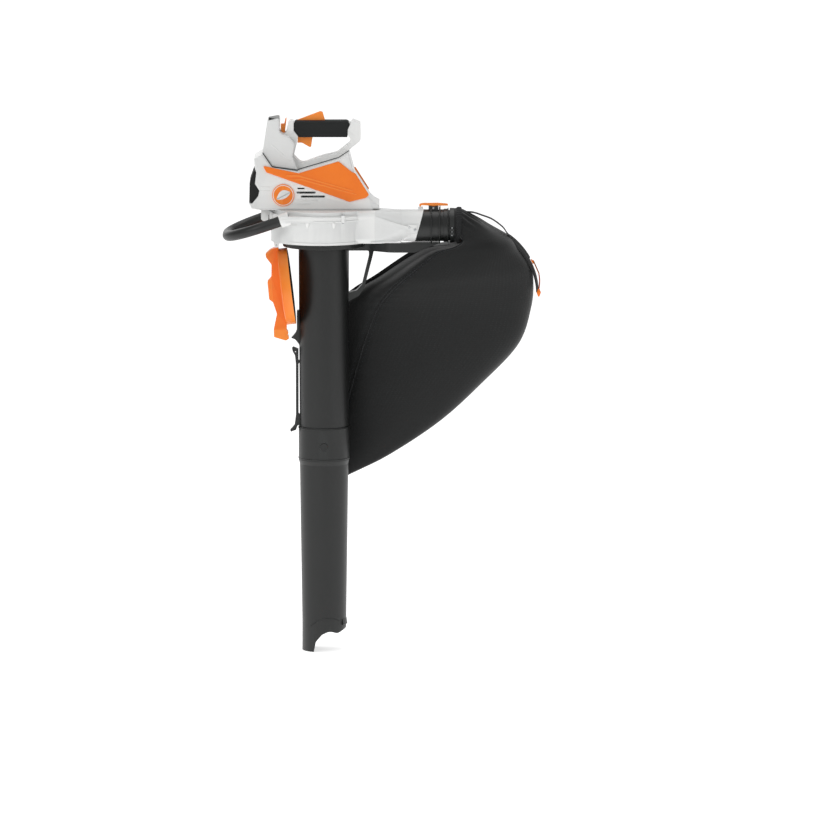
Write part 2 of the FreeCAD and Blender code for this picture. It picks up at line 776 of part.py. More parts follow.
def motor():
    """Motor frame, stator, bearings and seal ring; all stand on the fan housing lid."""
    can = D.stator_radius + D.can_wall
    top = MOTOR_FOOT + D.stator_height + 12
    frame = turned("motor_frame", [
        (can + 9, ROOF), (can + 9, ROOF + 3), (can, ROOF + 3, 2), (can, top, 4),
        (D.bearing_radius, top), (D.bearing_radius, top - D.bearing_width), (D.bearing_radius - 3, top - D.bearing_width),
        (D.bearing_radius - 3, top - D.bearing_width - 2), (D.bearing_radius + 3, top - D.bearing_width - 2),
        (D.bearing_radius + 3, top - 3), (D.stator_radius, top - 3),
        (D.stator_radius, MOTOR_FOOT), (D.stator_radius - 3, MOTOR_FOOT), (D.stator_radius - 3, MOTOR_FOOT - 2),
        (D.stator_radius, MOTOR_FOOT - 2), (D.stator_radius, ROOF),
    ])
    node("motor_frame", frame)
    bore = D.rotor_radius + D.air_gap
    stator = new_body("motor_stator")
    sketch = new_sketch(stator, "XY", MOTOR_FOOT)
    ring(sketch, 0, 0, D.stator_radius)
    ring(sketch, 0, 0, bore)
    pad(stator, sketch, D.stator_height)
    slot = new_sketch(stator, "XY", MOTOR_FOOT + D.stator_height)
    outline(slot, [(bore - 1, -1.2), (bore + 2, -1.2), (bore + 3, -3.5), (D.stator_radius - 4, -4.5),
                   (D.stator_radius - 4, 4.5), (bore + 3, 3.5), (bore + 2, 1.2), (bore - 1, 1.2)])
    slots = pocket(stator, slot, D.stator_height)
    polar(stator, slots, slot, 9)
    node("motor_stator", stator)
    for label, low in (("bearing_lower", ROOF + 1), ("bearing_upper", top - D.bearing_width)):
        bearing = turned(label, [
            (D.shaft_radius + D.pin_gap, low), (D.bearing_radius, low, 0.6),
            (D.bearing_radius, low + D.bearing_width, 0.6), (D.shaft_radius + D.pin_gap, low + D.bearing_width),
        ])
        node(label, bearing)
    shaft = turned("rotor_shaft", [
        (0, FLOOR + 2), (D.shaft_radius - 1, FLOOR + 2), (D.shaft_radius - 1, FLOOR + D.fan_clear - 3),
        (D.shaft_radius, FLOOR + D.fan_clear - 3), (D.shaft_radius, top + 3, 0.6), (0, top + 3),
    ])
    node("rotor_shaft", shaft)
    core = turned("rotor_core", [
        (D.shaft_radius, MOTOR_FOOT + 2), (D.rotor_radius, MOTOR_FOOT + 2),
        (D.rotor_radius, MOTOR_FOOT + D.stator_height - 2), (D.shaft_radius, MOTOR_FOOT + D.stator_height - 2),
    ])
    node("rotor_core", core)


def polar(body, original, sketch, count):
    """Repeat a feature evenly round the sketch normal."""
    feature_set = body.newObject("PartDesign::PolarPattern", "PolarPattern")
    feature_set.Originals = [original]
    feature_set.Axis = (sketch, ["N_Axis"])
    feature_set.Angle = 360
    feature_set.Occurrences = count
    body.Tip = feature_set
    return feature_set


def fan():
    """Impeller with backward-leaning blades, the shredding blade below it, and its nut."""
    base = FLOOR + D.fan_clear
    body = new_body("impeller")
    sketch = new_sketch(body, "XZ")
    rim = base + D.fan_height
    outline(sketch, [
        (D.shaft_radius, base), (D.hub_radius, base, 2), (D.hub_radius + 3, rim - 4, 10), (D.fan_radius, rim - 4),
        (D.fan_radius, rim - 1), (D.hub_radius, rim - 1, 3), (D.hub_radius - 3, rim + 4), (D.shaft_radius, rim + 4),
    ])
    spin(body, "Revolution", sketch)
    blade = new_sketch(body, "XY", base + 2)
    outline(blade, [
        (D.hub_radius - 3, -1.5), (D.fan_radius * 0.6, 9, 90), (D.fan_radius - 3, 8), (D.fan_radius - 3, 11),
        (D.fan_radius * 0.6, 12, 90), (D.hub_radius - 3, 1.5),
    ])
    blades = pad(body, blade, D.fan_height - 5)
    polar(body, blades, blade, 8)
    node("impeller", body)
    cutter = new_body("shredder_blade")
    flat = new_sketch(cutter, "XY", base - 3)
    reach = D.inlet_radius - 5
    outline(flat, [
        (-reach, -7, 3), (-12, -10, 20), (12, -10, 20), (reach, -3), (reach, 7, 3), (12, 10, 20), (-12, 10, 20),
        (-reach, 3),
    ])
    ring(flat, 0, 0, D.shaft_radius)
    pad(cutter, flat, 3)
    node("shredder_blade", cutter)
    nut = new_body("impeller_nut")
    hexagon = new_sketch(nut, "XY", base - 9)
    across = D.shaft_radius + 3.5
    outline(hexagon, [(across * math.cos(math.radians(60 * corner)), across * math.sin(math.radians(60 * corner)))
                      for corner in range(6)])
    ring(hexagon, 0, 0, D.shaft_radius - 1)
    pad(nut, hexagon, 6)
    node("impeller_nut", nut)


def inlet_seal():
    """Foam ring between the tube flange and the fan housing floor."""
    level = D.flange_level + D.flange_thick
    return node("inlet_seal", turned("inlet_seal", [
        (D.inlet_radius + 6, level), (D.inlet_radius + 24, level), (D.inlet_radius + 24, level + D.seal_thick),
        (D.inlet_radius + 6, level + D.seal_thick),
    ]))


# ---------------------------------------------------------------- motor housing

# Outlines of the upper casing are heights above the fan housing roof.
SEAM = [(-138, 128), (-116, 96), (-59, 88), (34, 115.5), (57, 131)]
BOSSES = [(-128, 100), (-128, 26), (58, 88), (92, 26)]


def seam_line(offset):
    """The gasket line between motor housing and handle, moved up or down."""
    return [(across, up + offset) for across, up in SEAM]


def housing_shell(label, near):
    """One half of the motor housing: open at the middle and below, with screw bosses and vents."""
    body = new_body(label)
    side = new_sketch(body, "XZ")
    left = [(-143, 0), (-163, 3), (-168, 15), (-160.5, 15.5), (-148, 31), (-145, 44), (-155, 59), (-152, 85),
            (-155.5, 97), (-157, 116)]
    right = [(70, 80), (105, 27), (112, 20), (126, 12), (126, 2.5), (112, 2.5), (112, 0)]
    outline(side, shift(left + seam_line(-D.seam / 2) + right, 0, ROOF))
    pad(body, side, D.shell_half, reverse=not near)
    outside = -D.shell_half if near else D.shell_half
    soften(body, D.shell_round, lies_at("y", outside))
    hollow = new_sketch(body, "XZ")
    outline(hollow, inset(shift(left + seam_line(-D.seam / 2) + right, 0, ROOF), D.wall))
    pocket(body, hollow, D.shell_half - D.wall, reverse=near)
    foot = new_sketch(body, "XZ")
    outline(foot, shift([(-139, -1), (109, -1), (109, D.wall + 1), (-139, D.wall + 1)], 0, ROOF))
    pocket(body, foot, D.shell_half - D.wall, reverse=near)
    bosses = new_sketch(body, "XZ")
    for across, up in BOSSES:
        ring(bosses, across, ROOF + up, 5.5)
    pad(body, bosses, D.shell_half - 1, reverse=not near)
    holes = new_sketch(body, "XZ")
    for across, up in BOSSES:
        ring(holes, across, ROOF + up, SCREW_RADIUS)
    pocket(body, holes, (D.shell_half - 10) if near else (D.shell_half + 2), reverse=near)
    if not near:
        heads = new_sketch(body, "XZ", -D.shell_half + 6.6)
        for across, up in BOSSES:
            ring(heads, across, ROOF + up, SCREW_HEAD + 0.3)
        pocket(body, heads, 10, reverse=False)
    vents = new_sketch(body, "XZ", D.shell_half - 10 if near else -D.shell_half + 10)
    for start, stop, up in ((-59, -44, 50), (-61, -19, 40), (-51, 2, 31)):
        outline(vents, shift([
            (start, -2.4, 2), (stop, -2.4, 2), (stop + 3, 2.4, 2), (start, 2.4, 2),
        ], 0, ROOF + up))
    pocket(body, vents, 20, reverse=near)
    return node(label, body)


SCREW_RADIUS = term(2)
SCREW_HEAD = term(3.8)
PANEL = [(-137, 101, 2), (-129, 86, 3), (48, 23, 6), (58, 19, 4), (95, 28, 5), (103, 35, 3), (72, 84, 4),
         (64, 87, 6), (34, 111, 4), (-56, 84, 10)]


def side_panel(label, side):
    """Orange cover panel on the flank, with two raised ridges that fall towards the bag."""
    inner = side * D.shell_half
    middle = -(inner + D.panel_thick * (side * 0.5))
    body = plate(label, shift(PANEL, 0, ROOF), D.panel_thick / 2, middle)
    face = side * (value(D.shell_half) + value(D.panel_thick))
    soften(body, 1.5, lies_at("y", face))
    ridges = new_sketch(body, "XZ", -(side * (D.shell_half + 1)))
    for drop in (0, 9):
        outline(ridges, shift([(-84, 77), (-58, 77), (66, 43.5), (66, 45.5), (-56, 80), (-84, 80)],
                              drop, ROOF - drop))
    pad(body, ridges, D.panel_thick + 0.2, reverse=side > 0)
    return node(label, body)


def badge(label, side):
    """Orange disc on the flank with a plain leaf in relief."""
    body = new_body(label)
    flat = new_sketch(body, "XZ", -side * D.shell_half)
    ring(flat, -91, ROOF + 34, 25)
    pad(body, flat, 2.5, reverse=side > 0)
    leaf = new_sketch(body, "XZ", -side * (D.shell_half + 2))
    outline(leaf, shift([(-13, -9), (-9, 6, 12), (12, 10), (7, -8, 12)], -91, ROOF + 34))
    pad(body, leaf, 1, reverse=side > 0)
    return node(label, body)


def front_bumper():
    """Rubber bumper in the nose of the motor housing."""
    body = plate("front_bumper", shift([
        (-157, 90, 3), (-167, 63, 20), (-168, 15.5, 2), (-160.5, 15.5), (-148, 31), (-145, 44), (-155, 59),
        (-152, 85),
    ], 0, ROOF), D.shell_half - 8)
    return node("front_bumper", body)


def screw_group(label, spots, axis, start, shank, head_radius, head_height, outward):
    """Identical screws as separate solids: (x, y, z) is where each shank starts."""
    solids = []
    for spot in spots:
        foot = Vector(*[value(item) for item in spot]) + outward * start
        body = Part.makeCylinder(value(SCREW_RADIUS), shank, foot, outward)
        head = Part.makeCylinder(head_radius, head_height, foot + outward * shank, outward)
        drive = Part.makeCylinder(1.6, head_height, foot + outward * (shank + head_height - 1.2), outward)
        solids.append(body.fuse(head).cut(drive).removeSplitter())
    return node(label, feature(label, Part.makeCompound(solids)))


def electronics():
    """Control board with its heat sink, and the leads that run up from it."""
    board = block("board", -122, -28, ROOF + 30, 66, 56, 1.6)
    fins = [block(f"fin_{index}", -116 + index * 8, -24, ROOF + 31.6, 3, 48, 12) for index in range(7)]
    foot = block("heat_foot", -116, -24, ROOF + 31.6, 51, 48, 2)
    node("control_board", fused("board_parts", board, foot, *fins))
    tray_turn = Rotation(Vector(0, 1, 0), value(TOWER_LEAN))
    inner = block("tray_hollow", -BAY_DEEP / 2 + D.tray_wall, -D.bay_half + D.tray_wall, D.tray_wall,
                  BAY_DEEP - D.tray_wall * 2, (D.bay_half - D.tray_wall) * 2, BAY_HIGH)
    outer = block("tray_block", -BAY_DEEP / 2, -D.bay_half, 0, BAY_DEEP, D.bay_half * 2, BAY_HIGH - 8)
    step = block("tray_step", BAY_DEEP / 2 - 4, -D.bay_half - 1, BAY_HIGH - 34, 8, D.bay_half * 2 + 2, 40)
    tray = cut("tray", outer, inner, step)
    tray.Placement = Placement(BAY_FOOT, tray_turn)
    node("battery_tray", tray)
    base = block("contact_base", -8, -26, D.tray_wall, 16, 52, 7)
    blades = [block(f"contact_{index}", -6, -21 + index * 10, D.tray_wall + 6.9, 12, 1.2, 12) for index in range(5)]
    contacts = fused("contacts", base, *blades)
    contacts.Placement = Placement(BAY_FOOT, tray_turn)
    node("contact_block", contacts)


TOWER_LEAN = math.degrees(math.atan2(11, 73))
BAY_DEEP = term(24)
BAY_HIGH = term(72)


# ---------------------------------------------------------------- handle

def tower_frame():
    """Outline of the handle without its grip bar: battery tower, lower bow and rear column."""
    left = seam_line(D.seam / 2)[::-1]
    return left + [
        (-127, 201, 3), (-100, 207, 3), (-98, 204.5, 1.5), (-99.5, 176, 2), (-92, 170.5, 3), (-85, 171, 3),
        (-79, 195.5, 1.5), (-75, 199, 2), (-68, 199), (-68, 176, 6), (-58, 163, 2), (-61, 146, 10), (-67.5, 119, 4),
        (-50, 101, 14), (-5, 117, 30), (29, 125, 20), (59.5, 148, 8), (60, 158, 6), (54.5, 166), (54.5, 178, 6),
        (64, 199, 2), (67, 200, 2), (83.5, 193, 3), (84, 157, 5), (81, 151, 4),
    ]


def handle_shell(label, near):
    """One half of the handle: frame, wider tower with the battery bay, and the bar for the grip."""
    body = new_body(label)
    full = new_sketch(body, "XZ")
    outline(full, shift(tower_frame(), 0, ROOF))
    pad(body, full, D.frame_half, reverse=not near)
    bar = new_sketch(body, "XZ")
    outline(bar, shift([
        (-74, CORE_LOW), (62, CORE_LOW), (62, CORE_TOP), (-74, CORE_TOP),
    ], 0, ROOF))
    pad(body, bar, D.core_half, reverse=not near)
    tower = new_sketch(body, "XZ")
    outline(tower, shift([
        *seam_line(D.seam / 2)[:3][::-1], (-127, 201, 5), (-99.2, 207, 5), (-99.5, 176), (-92, 169), (-78, 165),
        (-64, 148, 8), (-70, 120, 6),
    ], 0, ROOF))
    pad(body, tower, D.tower_half, reverse=not near)
    soften(body, D.shell_round, lies_at("y", -D.tower_half if near else D.tower_half))
    cavities = [
        ([(-61, 158), (7, 158), (7, 202), (-61, 202)], D.slot_half),
        ([(-98.5, 156), (-83.5, 156), (-83.5, 175), (-98.5, 175)], D.slot_half + 3),
        (bay_corners(), D.bay_half),
    ]
    for corners, half in cavities:
        sketch = new_sketch(body, "XZ")
        outline(sketch, shift(corners, 0, ROOF))
        pocket(body, sketch, half, reverse=near)
    pins = new_sketch(body, "XZ")
    for across, up in PINS.values():
        ring(pins, across, ROOF + up, D.pin_radius)
    pocket(body, pins, D.slot_half + 7, reverse=near)
    return node(label, body)


CORE_LOW = 161 + D.grip_skin
CORE_TOP = 198.5 - D.grip_skin
PINS = {"trigger_pin": (-53, 170), "lockout_pin": (-55, 190), "battery_lever_pin": (-91, 163)}


def bay_corners():
    """Battery bay in side view: a leaning rectangle, open at the top of the tower."""
    lean = math.radians(TOWER_LEAN)
    along = (math.sin(lean), math.cos(lean))
    foot = (value(BAY_FOOT_X), value(BAY_FOOT_UP))
    half = value(BAY_DEEP) / 2
    high = value(BAY_HIGH) + 12
    corners = []
    for across, up in ((-half, 0), (half, 0), (half, high), (-half, high)):
        corners.append((foot[0] + across * along[1] + up * along[0], foot[1] - across * along[0] + up * along[1]))
    return corners


BAY_FOOT_X = term(-122.9)
BAY_FOOT_UP = term(134)
BAY_FOOT = Vector(value(BAY_FOOT_X), 0, value(ROOF + BAY_FOOT_UP))


def handle_seal():
    """Thin dark gasket that follows the joint of handle and motor housing."""
    corners = seam_line(D.seam / 2)[::-1] + seam_line(-D.seam / 2)
    strip = plate("seal_strip", shift(corners, 0, ROOF), D.frame_half)
    foot = plate("seal_foot", shift(seam_line(D.seam / 2)[2::-1] + seam_line(-D.seam / 2)[:3], 0, ROOF),
                 D.tower_half - 1)
    return node("handle_seal", fused("seal_parts", strip, foot))


def grip_sleeve():
    """Soft sleeve moulded round the bar of the handle, with slots for trigger and lockout."""
    body = new_body("grip_sleeve")
    side = new_sketch(body, "XZ")
    outline(side, shift([
        (-67.5, 176.3, 6), (-56, 161.3, 2), (-54, 161), (53.5, 161), (54, 165.6, 3), (54, 178, 6), (63.2, 198.6), (-67.6, 198.6),
    ], 0, ROOF))
    pad(body, side, D.grip_half * 2, middle=True)
    soften(body, 9, lies_at("z", ROOF + 198.6))
    core = new_sketch(body, "XZ")
    outline(core, shift([(-80, CORE_LOW), (80, CORE_LOW), (80, CORE_TOP), (-80, CORE_TOP)], 0, ROOF))
    pocket(body, core, D.core_half * 2, middle=True)
    for start, stop, low, high in ((-61, -22, 155, CORE_LOW + 1), (-61, 5, CORE_TOP - 1, 204)):
        slot = new_sketch(body, "XZ")
        outline(slot, shift([(start, low), (stop, low), (stop, high), (start, high)], 0, ROOF))
        pocket(body, slot, D.slot_half * 2, middle=True)
    return node("grip_sleeve", body)


def lever(label, corners, half, pin):
    """A moulded lever: side outline, rounded long edges and the bore for its pin."""
    body = plate(label, shift(corners, 0, ROOF), half)
    bore = new_sketch(body, "XZ")
    across, up = PINS[pin]
    ring(bore, across, ROOF + up, D.pin_radius + D.pin_gap)
    pocket(body, bore, BIG, middle=True)
    return node(label, body)


def controls():
    """Trigger, lockout lever and battery lever with their pins, springs and the switch."""
    half = D.slot_half - D.side_play
    lever("trigger", [
        (-57.5, 166, 3), (-57.5, 174, 3), (-27, 174, 2), (-25.3, 160, 2), (-28.5, 137.6, 2), (-32.5, 137.6, 2),
        (-49.5, 147.5, 12), (-59.5, 147, 1), (-58.5, 161),
    ], half, "trigger_pin")
    lever("lockout_lever", [
        (-59.5, 186, 3), (-59.5, 199, 3), (-8, 218.4, 4), (-2.5, 217, 3), (2.7, 200, 1), (2.7, 197), (-40, 189),
        (-50, 186, 2),
    ], half, "lockout_pin")
    lever("battery_lever", [
        (-95, 159, 3), (-87, 159, 3), (-87, 176, 4), (-83.7, 203, 1), (-86.2, 203, 1), (-89.2, 190, 1),
        (-97, 190, 1), (-97, 180, 2), (-95, 172, 3),
    ], D.slot_half + 3 - D.side_play, "battery_lever_pin")
    reach = D.slot_half + 7
    pins = doc.addObject("Part::Compound", "lever_pins")
    pins.Links = [rod(label, across, -reach, ROOF + up, "Y", D.pin_radius, reach * 2)
                  for label, (across, up) in PINS.items()]
    node("lever_pins", pins)
    switch = fused("switch_parts", block("switch_box", -30, -6, ROOF + 179.6, 26, 12, 4.6),
                   block("switch_nose", -29, -2.5, ROOF + 178.4, 5, 5, 1.5))
    node("trigger_switch", switch)
    node("trigger_spring", coil("trigger_spring", Vector(-40, 0, value(ROOF) + 174.4), 2.4, 0.4, 5, 4))
    node("lockout_spring", coil("lockout_spring", Vector(-20, 0, value(ROOF) + 184.8), 2.6, 0.4, 6.4, 5))


def loop_handle():
    """Front loop handle: one bent bar that leans down from its two sockets."""
    body = new_body("loop_handle")
    profile = new_sketch(body, "YZ", -LOOP_INSET)
    ring(profile, D.loop_half, 0, D.loop_radius)
    path = new_sketch(body, "XY")
    outline(path, [
        (LOOP_INSET, D.loop_half), (-D.loop_reach, D.loop_half, D.loop_bend),
        (-D.loop_reach, -D.loop_half, D.loop_bend), (LOOP_INSET, -D.loop_half),
    ], closed=False)
    profile.AttachmentOffset = Placement(Vector(0, 0, LOOP_INSET), Rotation())
    sweep = body.newObject("PartDesign::AdditivePipe", "Pipe")
    sweep.Profile = profile
    sweep.Spine = path
    body.Placement = Placement(Vector(LOOP_X, 0, value(LOOP_Z)), Rotation(Vector(0, 1, 0), -value(D.loop_tilt)))
    return node("loop_handle", body)


LOOP_INSET = 22


# ---------------------------------------------------------------- intake cover

def intake_cover():
    """Hinged cover: a dished disc, a ribbed grip on its back and a latch tongue below it."""
    centre = -12.5 - D.cover_radius
    dish = new_body("cover_dish")
    flat = new_sketch(dish, "YZ")
    ring(flat, 0, centre, D.cover_radius)
    pad(dish, flat, D.cover_depth)
    soften(dish, 3, lies_at("x", 0))
    hollow = new_sketch(dish, "YZ", D.cover_wall)
    ring(hollow, 0, centre, D.cover_radius - D.cover_wall)
    pocket(dish, hollow, D.cover_depth, reverse=True)
    rib = plate("cover_rib", [
        (3, -9), (-9, -9, 2), (-16, -11, 3), (-28, -20, 4), (-27, -28, 4), (-17, -45, 8), (-21, -74, 6),
        (-31, -83, 5), (-32, -123, 4), (-24, -131, 6), (-18.5, -159, 10), (-30, -193, 10), (-31.5, -210, 3),
        (-6, -221, 2), (1.5, -218, 1.5), (1.5, -212, 1), (-1, -209), (1.5, -206, 1), (1.5, -201, 1), (-1, -198),
        (0, -190), (0.5, -186),
    ], 13)
    pocket_a = block("cover_window", -40, -10, -120, 34, 20, 32)
    pocket_b = block("cover_relief", -60, -10, -205, 58, 20, 182)
    back = cut("cover_back", rib, pocket_a, pocket_b)
    knuckle = rod("cover_knuckle", 0, -20, 0, "Y", D.knuckle_radius, 40)
    neck = block("cover_neck", -3, -18, -14, 6, 36, 14)
    bore = rod("cover_bore", 0, -40, 0, "Y", D.pin_radius + D.pin_gap, 80)
    cover = cut("cover", fused("cover_parts", dish, back, knuckle, neck), bore)
    cover.Placement = Placement(Vector(-value(D.hinge_reach), 0, value(HINGE)),
                                Rotation(Vector(0, 1, 0), -value(D.cover_tilt)))
    node("intake_cover", cover)
    node("cover_hinge_pin", rod("cover_hinge_pin", -D.hinge_reach, -28.5, HINGE, "Y", D.pin_radius, 57))


# ---------------------------------------------------------------- bag unit

def around_duct(name, corners):
    """A ring about the discharge axis from an (x, radius) outline."""
    body = new_body(name)
    sketch = new_sketch(body, "XY")
    outline(sketch, corners)
    spin(body, "Revolution", sketch, "H_Axis")
    bind(body, "Placement.Base.y", -D.duct_side)
    bind(body, "Placement.Base.z", DUCT)
    return body


LATCH_X = 248
LATCH_UP = D.duct_radius + 4


def connector_sleeve():
    """Black connector: spigot in the pipe, body, collar for the bag neck and latch cheeks."""
    spigot = D.duct_radius - D.duct_wall - D.slide_gap
    outer = around_duct("sleeve_outer", [
        (D.duct_end - 40, spigot), (D.sleeve_end - 30, spigot), (D.sleeve_end - 30, D.duct_radius),
        (D.duct_end - 40, D.duct_radius),
    ])
    body = common("sleeve_body", outer, slanted("sleeve_slant", 0.6))
    tube = around_duct("sleeve_tube", [
        (D.duct_end - D.spigot_length, spigot - D.duct_wall), (D.sleeve_end, spigot - D.duct_wall),
        (D.sleeve_end, D.collar_radius), (D.sleeve_end - 20, D.collar_radius),
        (D.sleeve_end - 20, D.duct_radius + 1.5, 1), (D.sleeve_end - 31, D.duct_radius + 1.5, 1),
        (D.sleeve_end - 31, spigot), (D.duct_end - D.spigot_length, spigot),
    ])
    low = D.duct_radius - 3
    cheeks = []
    for side in (-1, 1):
        base = -D.duct_side + (6 if side > 0 else -9)
        cheeks.append(block(f"cheek_{side}", LATCH_X - 11, base, DUCT + low, 22, 3, 11))
    bore = rod("latch_bore", LATCH_X, -D.duct_side - 20, DUCT + LATCH_UP, "Y", D.pin_radius, 40)
    node("connector_sleeve", cut("sleeve", fused("sleeve_parts", body, tube, *cheeks), bore))
    node("latch_pin", rod("latch_pin", LATCH_X, -D.duct_side - 9, DUCT + LATCH_UP, "Y", D.pin_radius, 18))


def latch_lever():
    """Orange latch: hook towards the pipe lug, thumb plate towards the bag."""
    body = plate("latch_lever", shift([
        (-32, 3.4), (-28, 3.4), (-27, 6), (-4, 5), (-4, -2.6, 2), (4, -2.6, 2), (4, 5), (33, 5, 1),
        (33, 9, 2), (10, 11, 20), (-26, 10.5, 20), (-32, 8, 2),
    ], LATCH_X, DUCT + LATCH_UP), 5.5, D.duct_side)
    bore = new_sketch(body, "XZ", D.duct_side)
    ring(bore, LATCH_X, DUCT + LATCH_UP, D.pin_radius + D.pin_gap)
    pocket(body, bore, 40, middle=True)
    node("latch_lever", body)
    centre = Vector(LATCH_X + 14, -value(D.duct_side), value(DUCT) + value(D.duct_radius) + 0.5)
    node("latch_spring", coil("latch_spring", centre, 2.6, 0.4, 8, 4))


def clamp_ring():
    """Band with a screwed lug that holds the bag neck on the collar."""
    inner = D.collar_radius + D.cloth + 0.5
    band = around_duct("clamp_band", [
        (D.sleeve_end - 17, inner), (D.sleeve_end - 17 + D.clamp_width, inner),
        (D.sleeve_end - 17 + D.clamp_width, inner + D.clamp_band), (D.sleeve_end - 17, inner + D.clamp_band),
    ])
    lug = block("clamp_lug", D.sleeve_end - 17, -D.duct_side - inner - D.clamp_band - 6, DUCT - 17,
                D.clamp_width, 10, 14)
    gap = block("clamp_gap", D.sleeve_end - 20, -D.duct_side - inner - 20, DUCT - 11, 20, 22, 1.6)
    hole = rod("clamp_hole", D.sleeve_end - 12, -D.duct_side - inner - D.clamp_band - 3, DUCT - 30, "Z",
               1.5, 40)
    keep = around_duct("clamp_keep", [
        (D.sleeve_end - 25, 0), (D.sleeve_end, 0), (D.sleeve_end, inner), (D.sleeve_end - 25, inner),
    ])
    node("bag_clamp_ring", cut("clamp", fused("clamp_parts", band, lug), gap, hole, keep))
    node("clamp_screw", rod("clamp_screw", D.sleeve_end - 12, -D.duct_side - inner - D.clamp_band - 3, DUCT - 19,
                            "Z", 1.5, 19))


# Bag stations from the neck to the bottom: two edge points seen from the side, as (x, z, y),
# and the half thickness. Heights and lengths are from the middle of the collar's end.
STATIONS = [
    ((2, -41, 3), (18, 32, 3), 41),
    ((0, -43, 6), (44, 15, 5), 52),
    ((-6, -45.5, 14), (84, -6, 8), 68),
    ((-40, -50, 30), (121, -29, 14), 84),
    ((-100, -62, 52), (144, -62, 22), 97),
    ((-193, -127, 92), (165, -93, 30), 106),
    ((-239, -158, 120), (174, -132, 45), 108),
    ((-279, -198, 145), (167, -192, 55), 98),
    ((-311, -272, 160), (136, -272, 65), 85),
    ((-323, -362, 157), (50, -362, 80), 68),
    ((-328, -449, 150), (-42, -449, 95), 48),
    ((-328, -532, 143), (-150, -528, 110), 30),
    ((-316, -594, 137), (-250, -592, 123), 12),
]
BAG_SIDES = 24
BAG_STEPS = 2
NECK_BAND = 18
# A polygon's corners stand this much farther out than its sides.
BAG_SPREAD = 1 / math.cos(math.pi / BAG_SIDES)


def bag_rings(inset, neck, early, raised):
    """Polygons down the bag, with extra ones between the stations on a Catmull-Rom line.

    inset moves each polygon inwards and neck is the radius of the first two. early starts the
    neck sooner and raised lifts the last polygon, so that the inside runs past the outside or stops short.
    """
    rows = [(0, -neck - inset, 0, 0, neck + inset, 0, neck + inset)]
    rows += [left + right + (half,) for left, right, half in STATIONS]
    first = [2 * a - b for a, b in zip(rows[0], rows[1])]
    last = [2 * a - b for a, b in zip(rows[-1], rows[-2])]
    padded = [first] + rows + [last]
    mouth = -NECK_BAND - early
    rings = [bag_ring((mouth, -neck, 0, mouth, neck, 0, neck), 0, 0)]
    for index in range(len(rows)):
        for part in range(BAG_STEPS if index < len(rows) - 1 else 1):
            t = part / BAG_STEPS
            near = padded[index:index + 4] if index < len(rows) - 1 else padded[index:index + 3] + [last]
            row = [0.5 * (2 * b + (c - a) * t + (2 * a - 5 * b + 4 * c - d) * t * t + (3 * b - a - 3 * c + d) * t ** 3)
                   for a, b, c, d in zip(*near)]
            rings.append(bag_ring(row, inset, raised if index == len(rows) - 1 else 0))
    return rings


def bag_ring(row, inset, raised):
    """One polygon of the bag: an oval between its lower left and upper right edges."""
    left = Vector(row[0], row[2], row[1] + raised)
    right = Vector(row[3], row[5], row[4] + raised)
    along = (right - left).normalize()
    reach = (right - left).Length / 2 - inset
    middle = (left + right) / 2
    sideways = Vector(0, 1, 0) - along * along.y
    sideways.normalize()
    corners = []
    for step in range(BAG_SIDES):
        angle = 2 * math.pi * step / BAG_SIDES
        corners.append(middle + along * (reach * math.cos(angle)) + sideways * ((row[6] - inset) * math.sin(angle)))
    return Part.makePolygon(corners + corners[:1])


def bag():
    """Catcher bag: a round neck band on the collar and a many-sided fabric shell to its low front corner."""
    cloth = value(D.cloth)
    bore = (value(D.collar_radius) + 0.1) * BAG_SPREAD
    outer = Part.makeLoft(bag_rings(0, bore + cloth, 0, 0), True, True)
    inner = Part.makeLoft(bag_rings(cloth, bore, 1, 6), True, True)
    thing = feature("bag", outer.cut(inner))
    thing.Placement = Placement(BAG_NECK, Rotation())
    return node("bag", thing)


BAG_NECK = Vector(value(D.sleeve_end) + 0.3, -value(D.duct_side), value(DUCT))


def band_along(name, points, wide, thick, side):
    """A flat strap: a smooth path in the XZ plane, thick across it and wide along Y."""
    curve = Part.BSplineCurve()
    curve.interpolate([Vector(across, 0, up) for across, up in points])
    edge = curve.toShape()
    tangent = curve.tangent(curve.FirstParameter)[0]
    lift = Vector(0, 1, 0).cross(tangent)
    start = curve.value(curve.FirstParameter)
    corners = []
    for sideways, up in ((-0.5, -0.5), (0.5, -0.5), (0.5, 0.5), (-0.5, 0.5)):
        corners.append(start + Vector(0, sideways * wide, 0) + lift * (up * thick))
    profile = Part.makePolygon(corners + corners[:1])
    maker = Part.BRepOffsetAPI.MakePipeShell(Part.Wire([edge]))
    maker.setBiNormalMode(Vector(0, 1, 0))
    maker.add(profile)
    maker.build()
    maker.makeSolid()
    thing = feature(name, maker.shape())
    thing.Placement = Placement(BAG_NECK + Vector(0, side, 0), Rotation())
    return thing


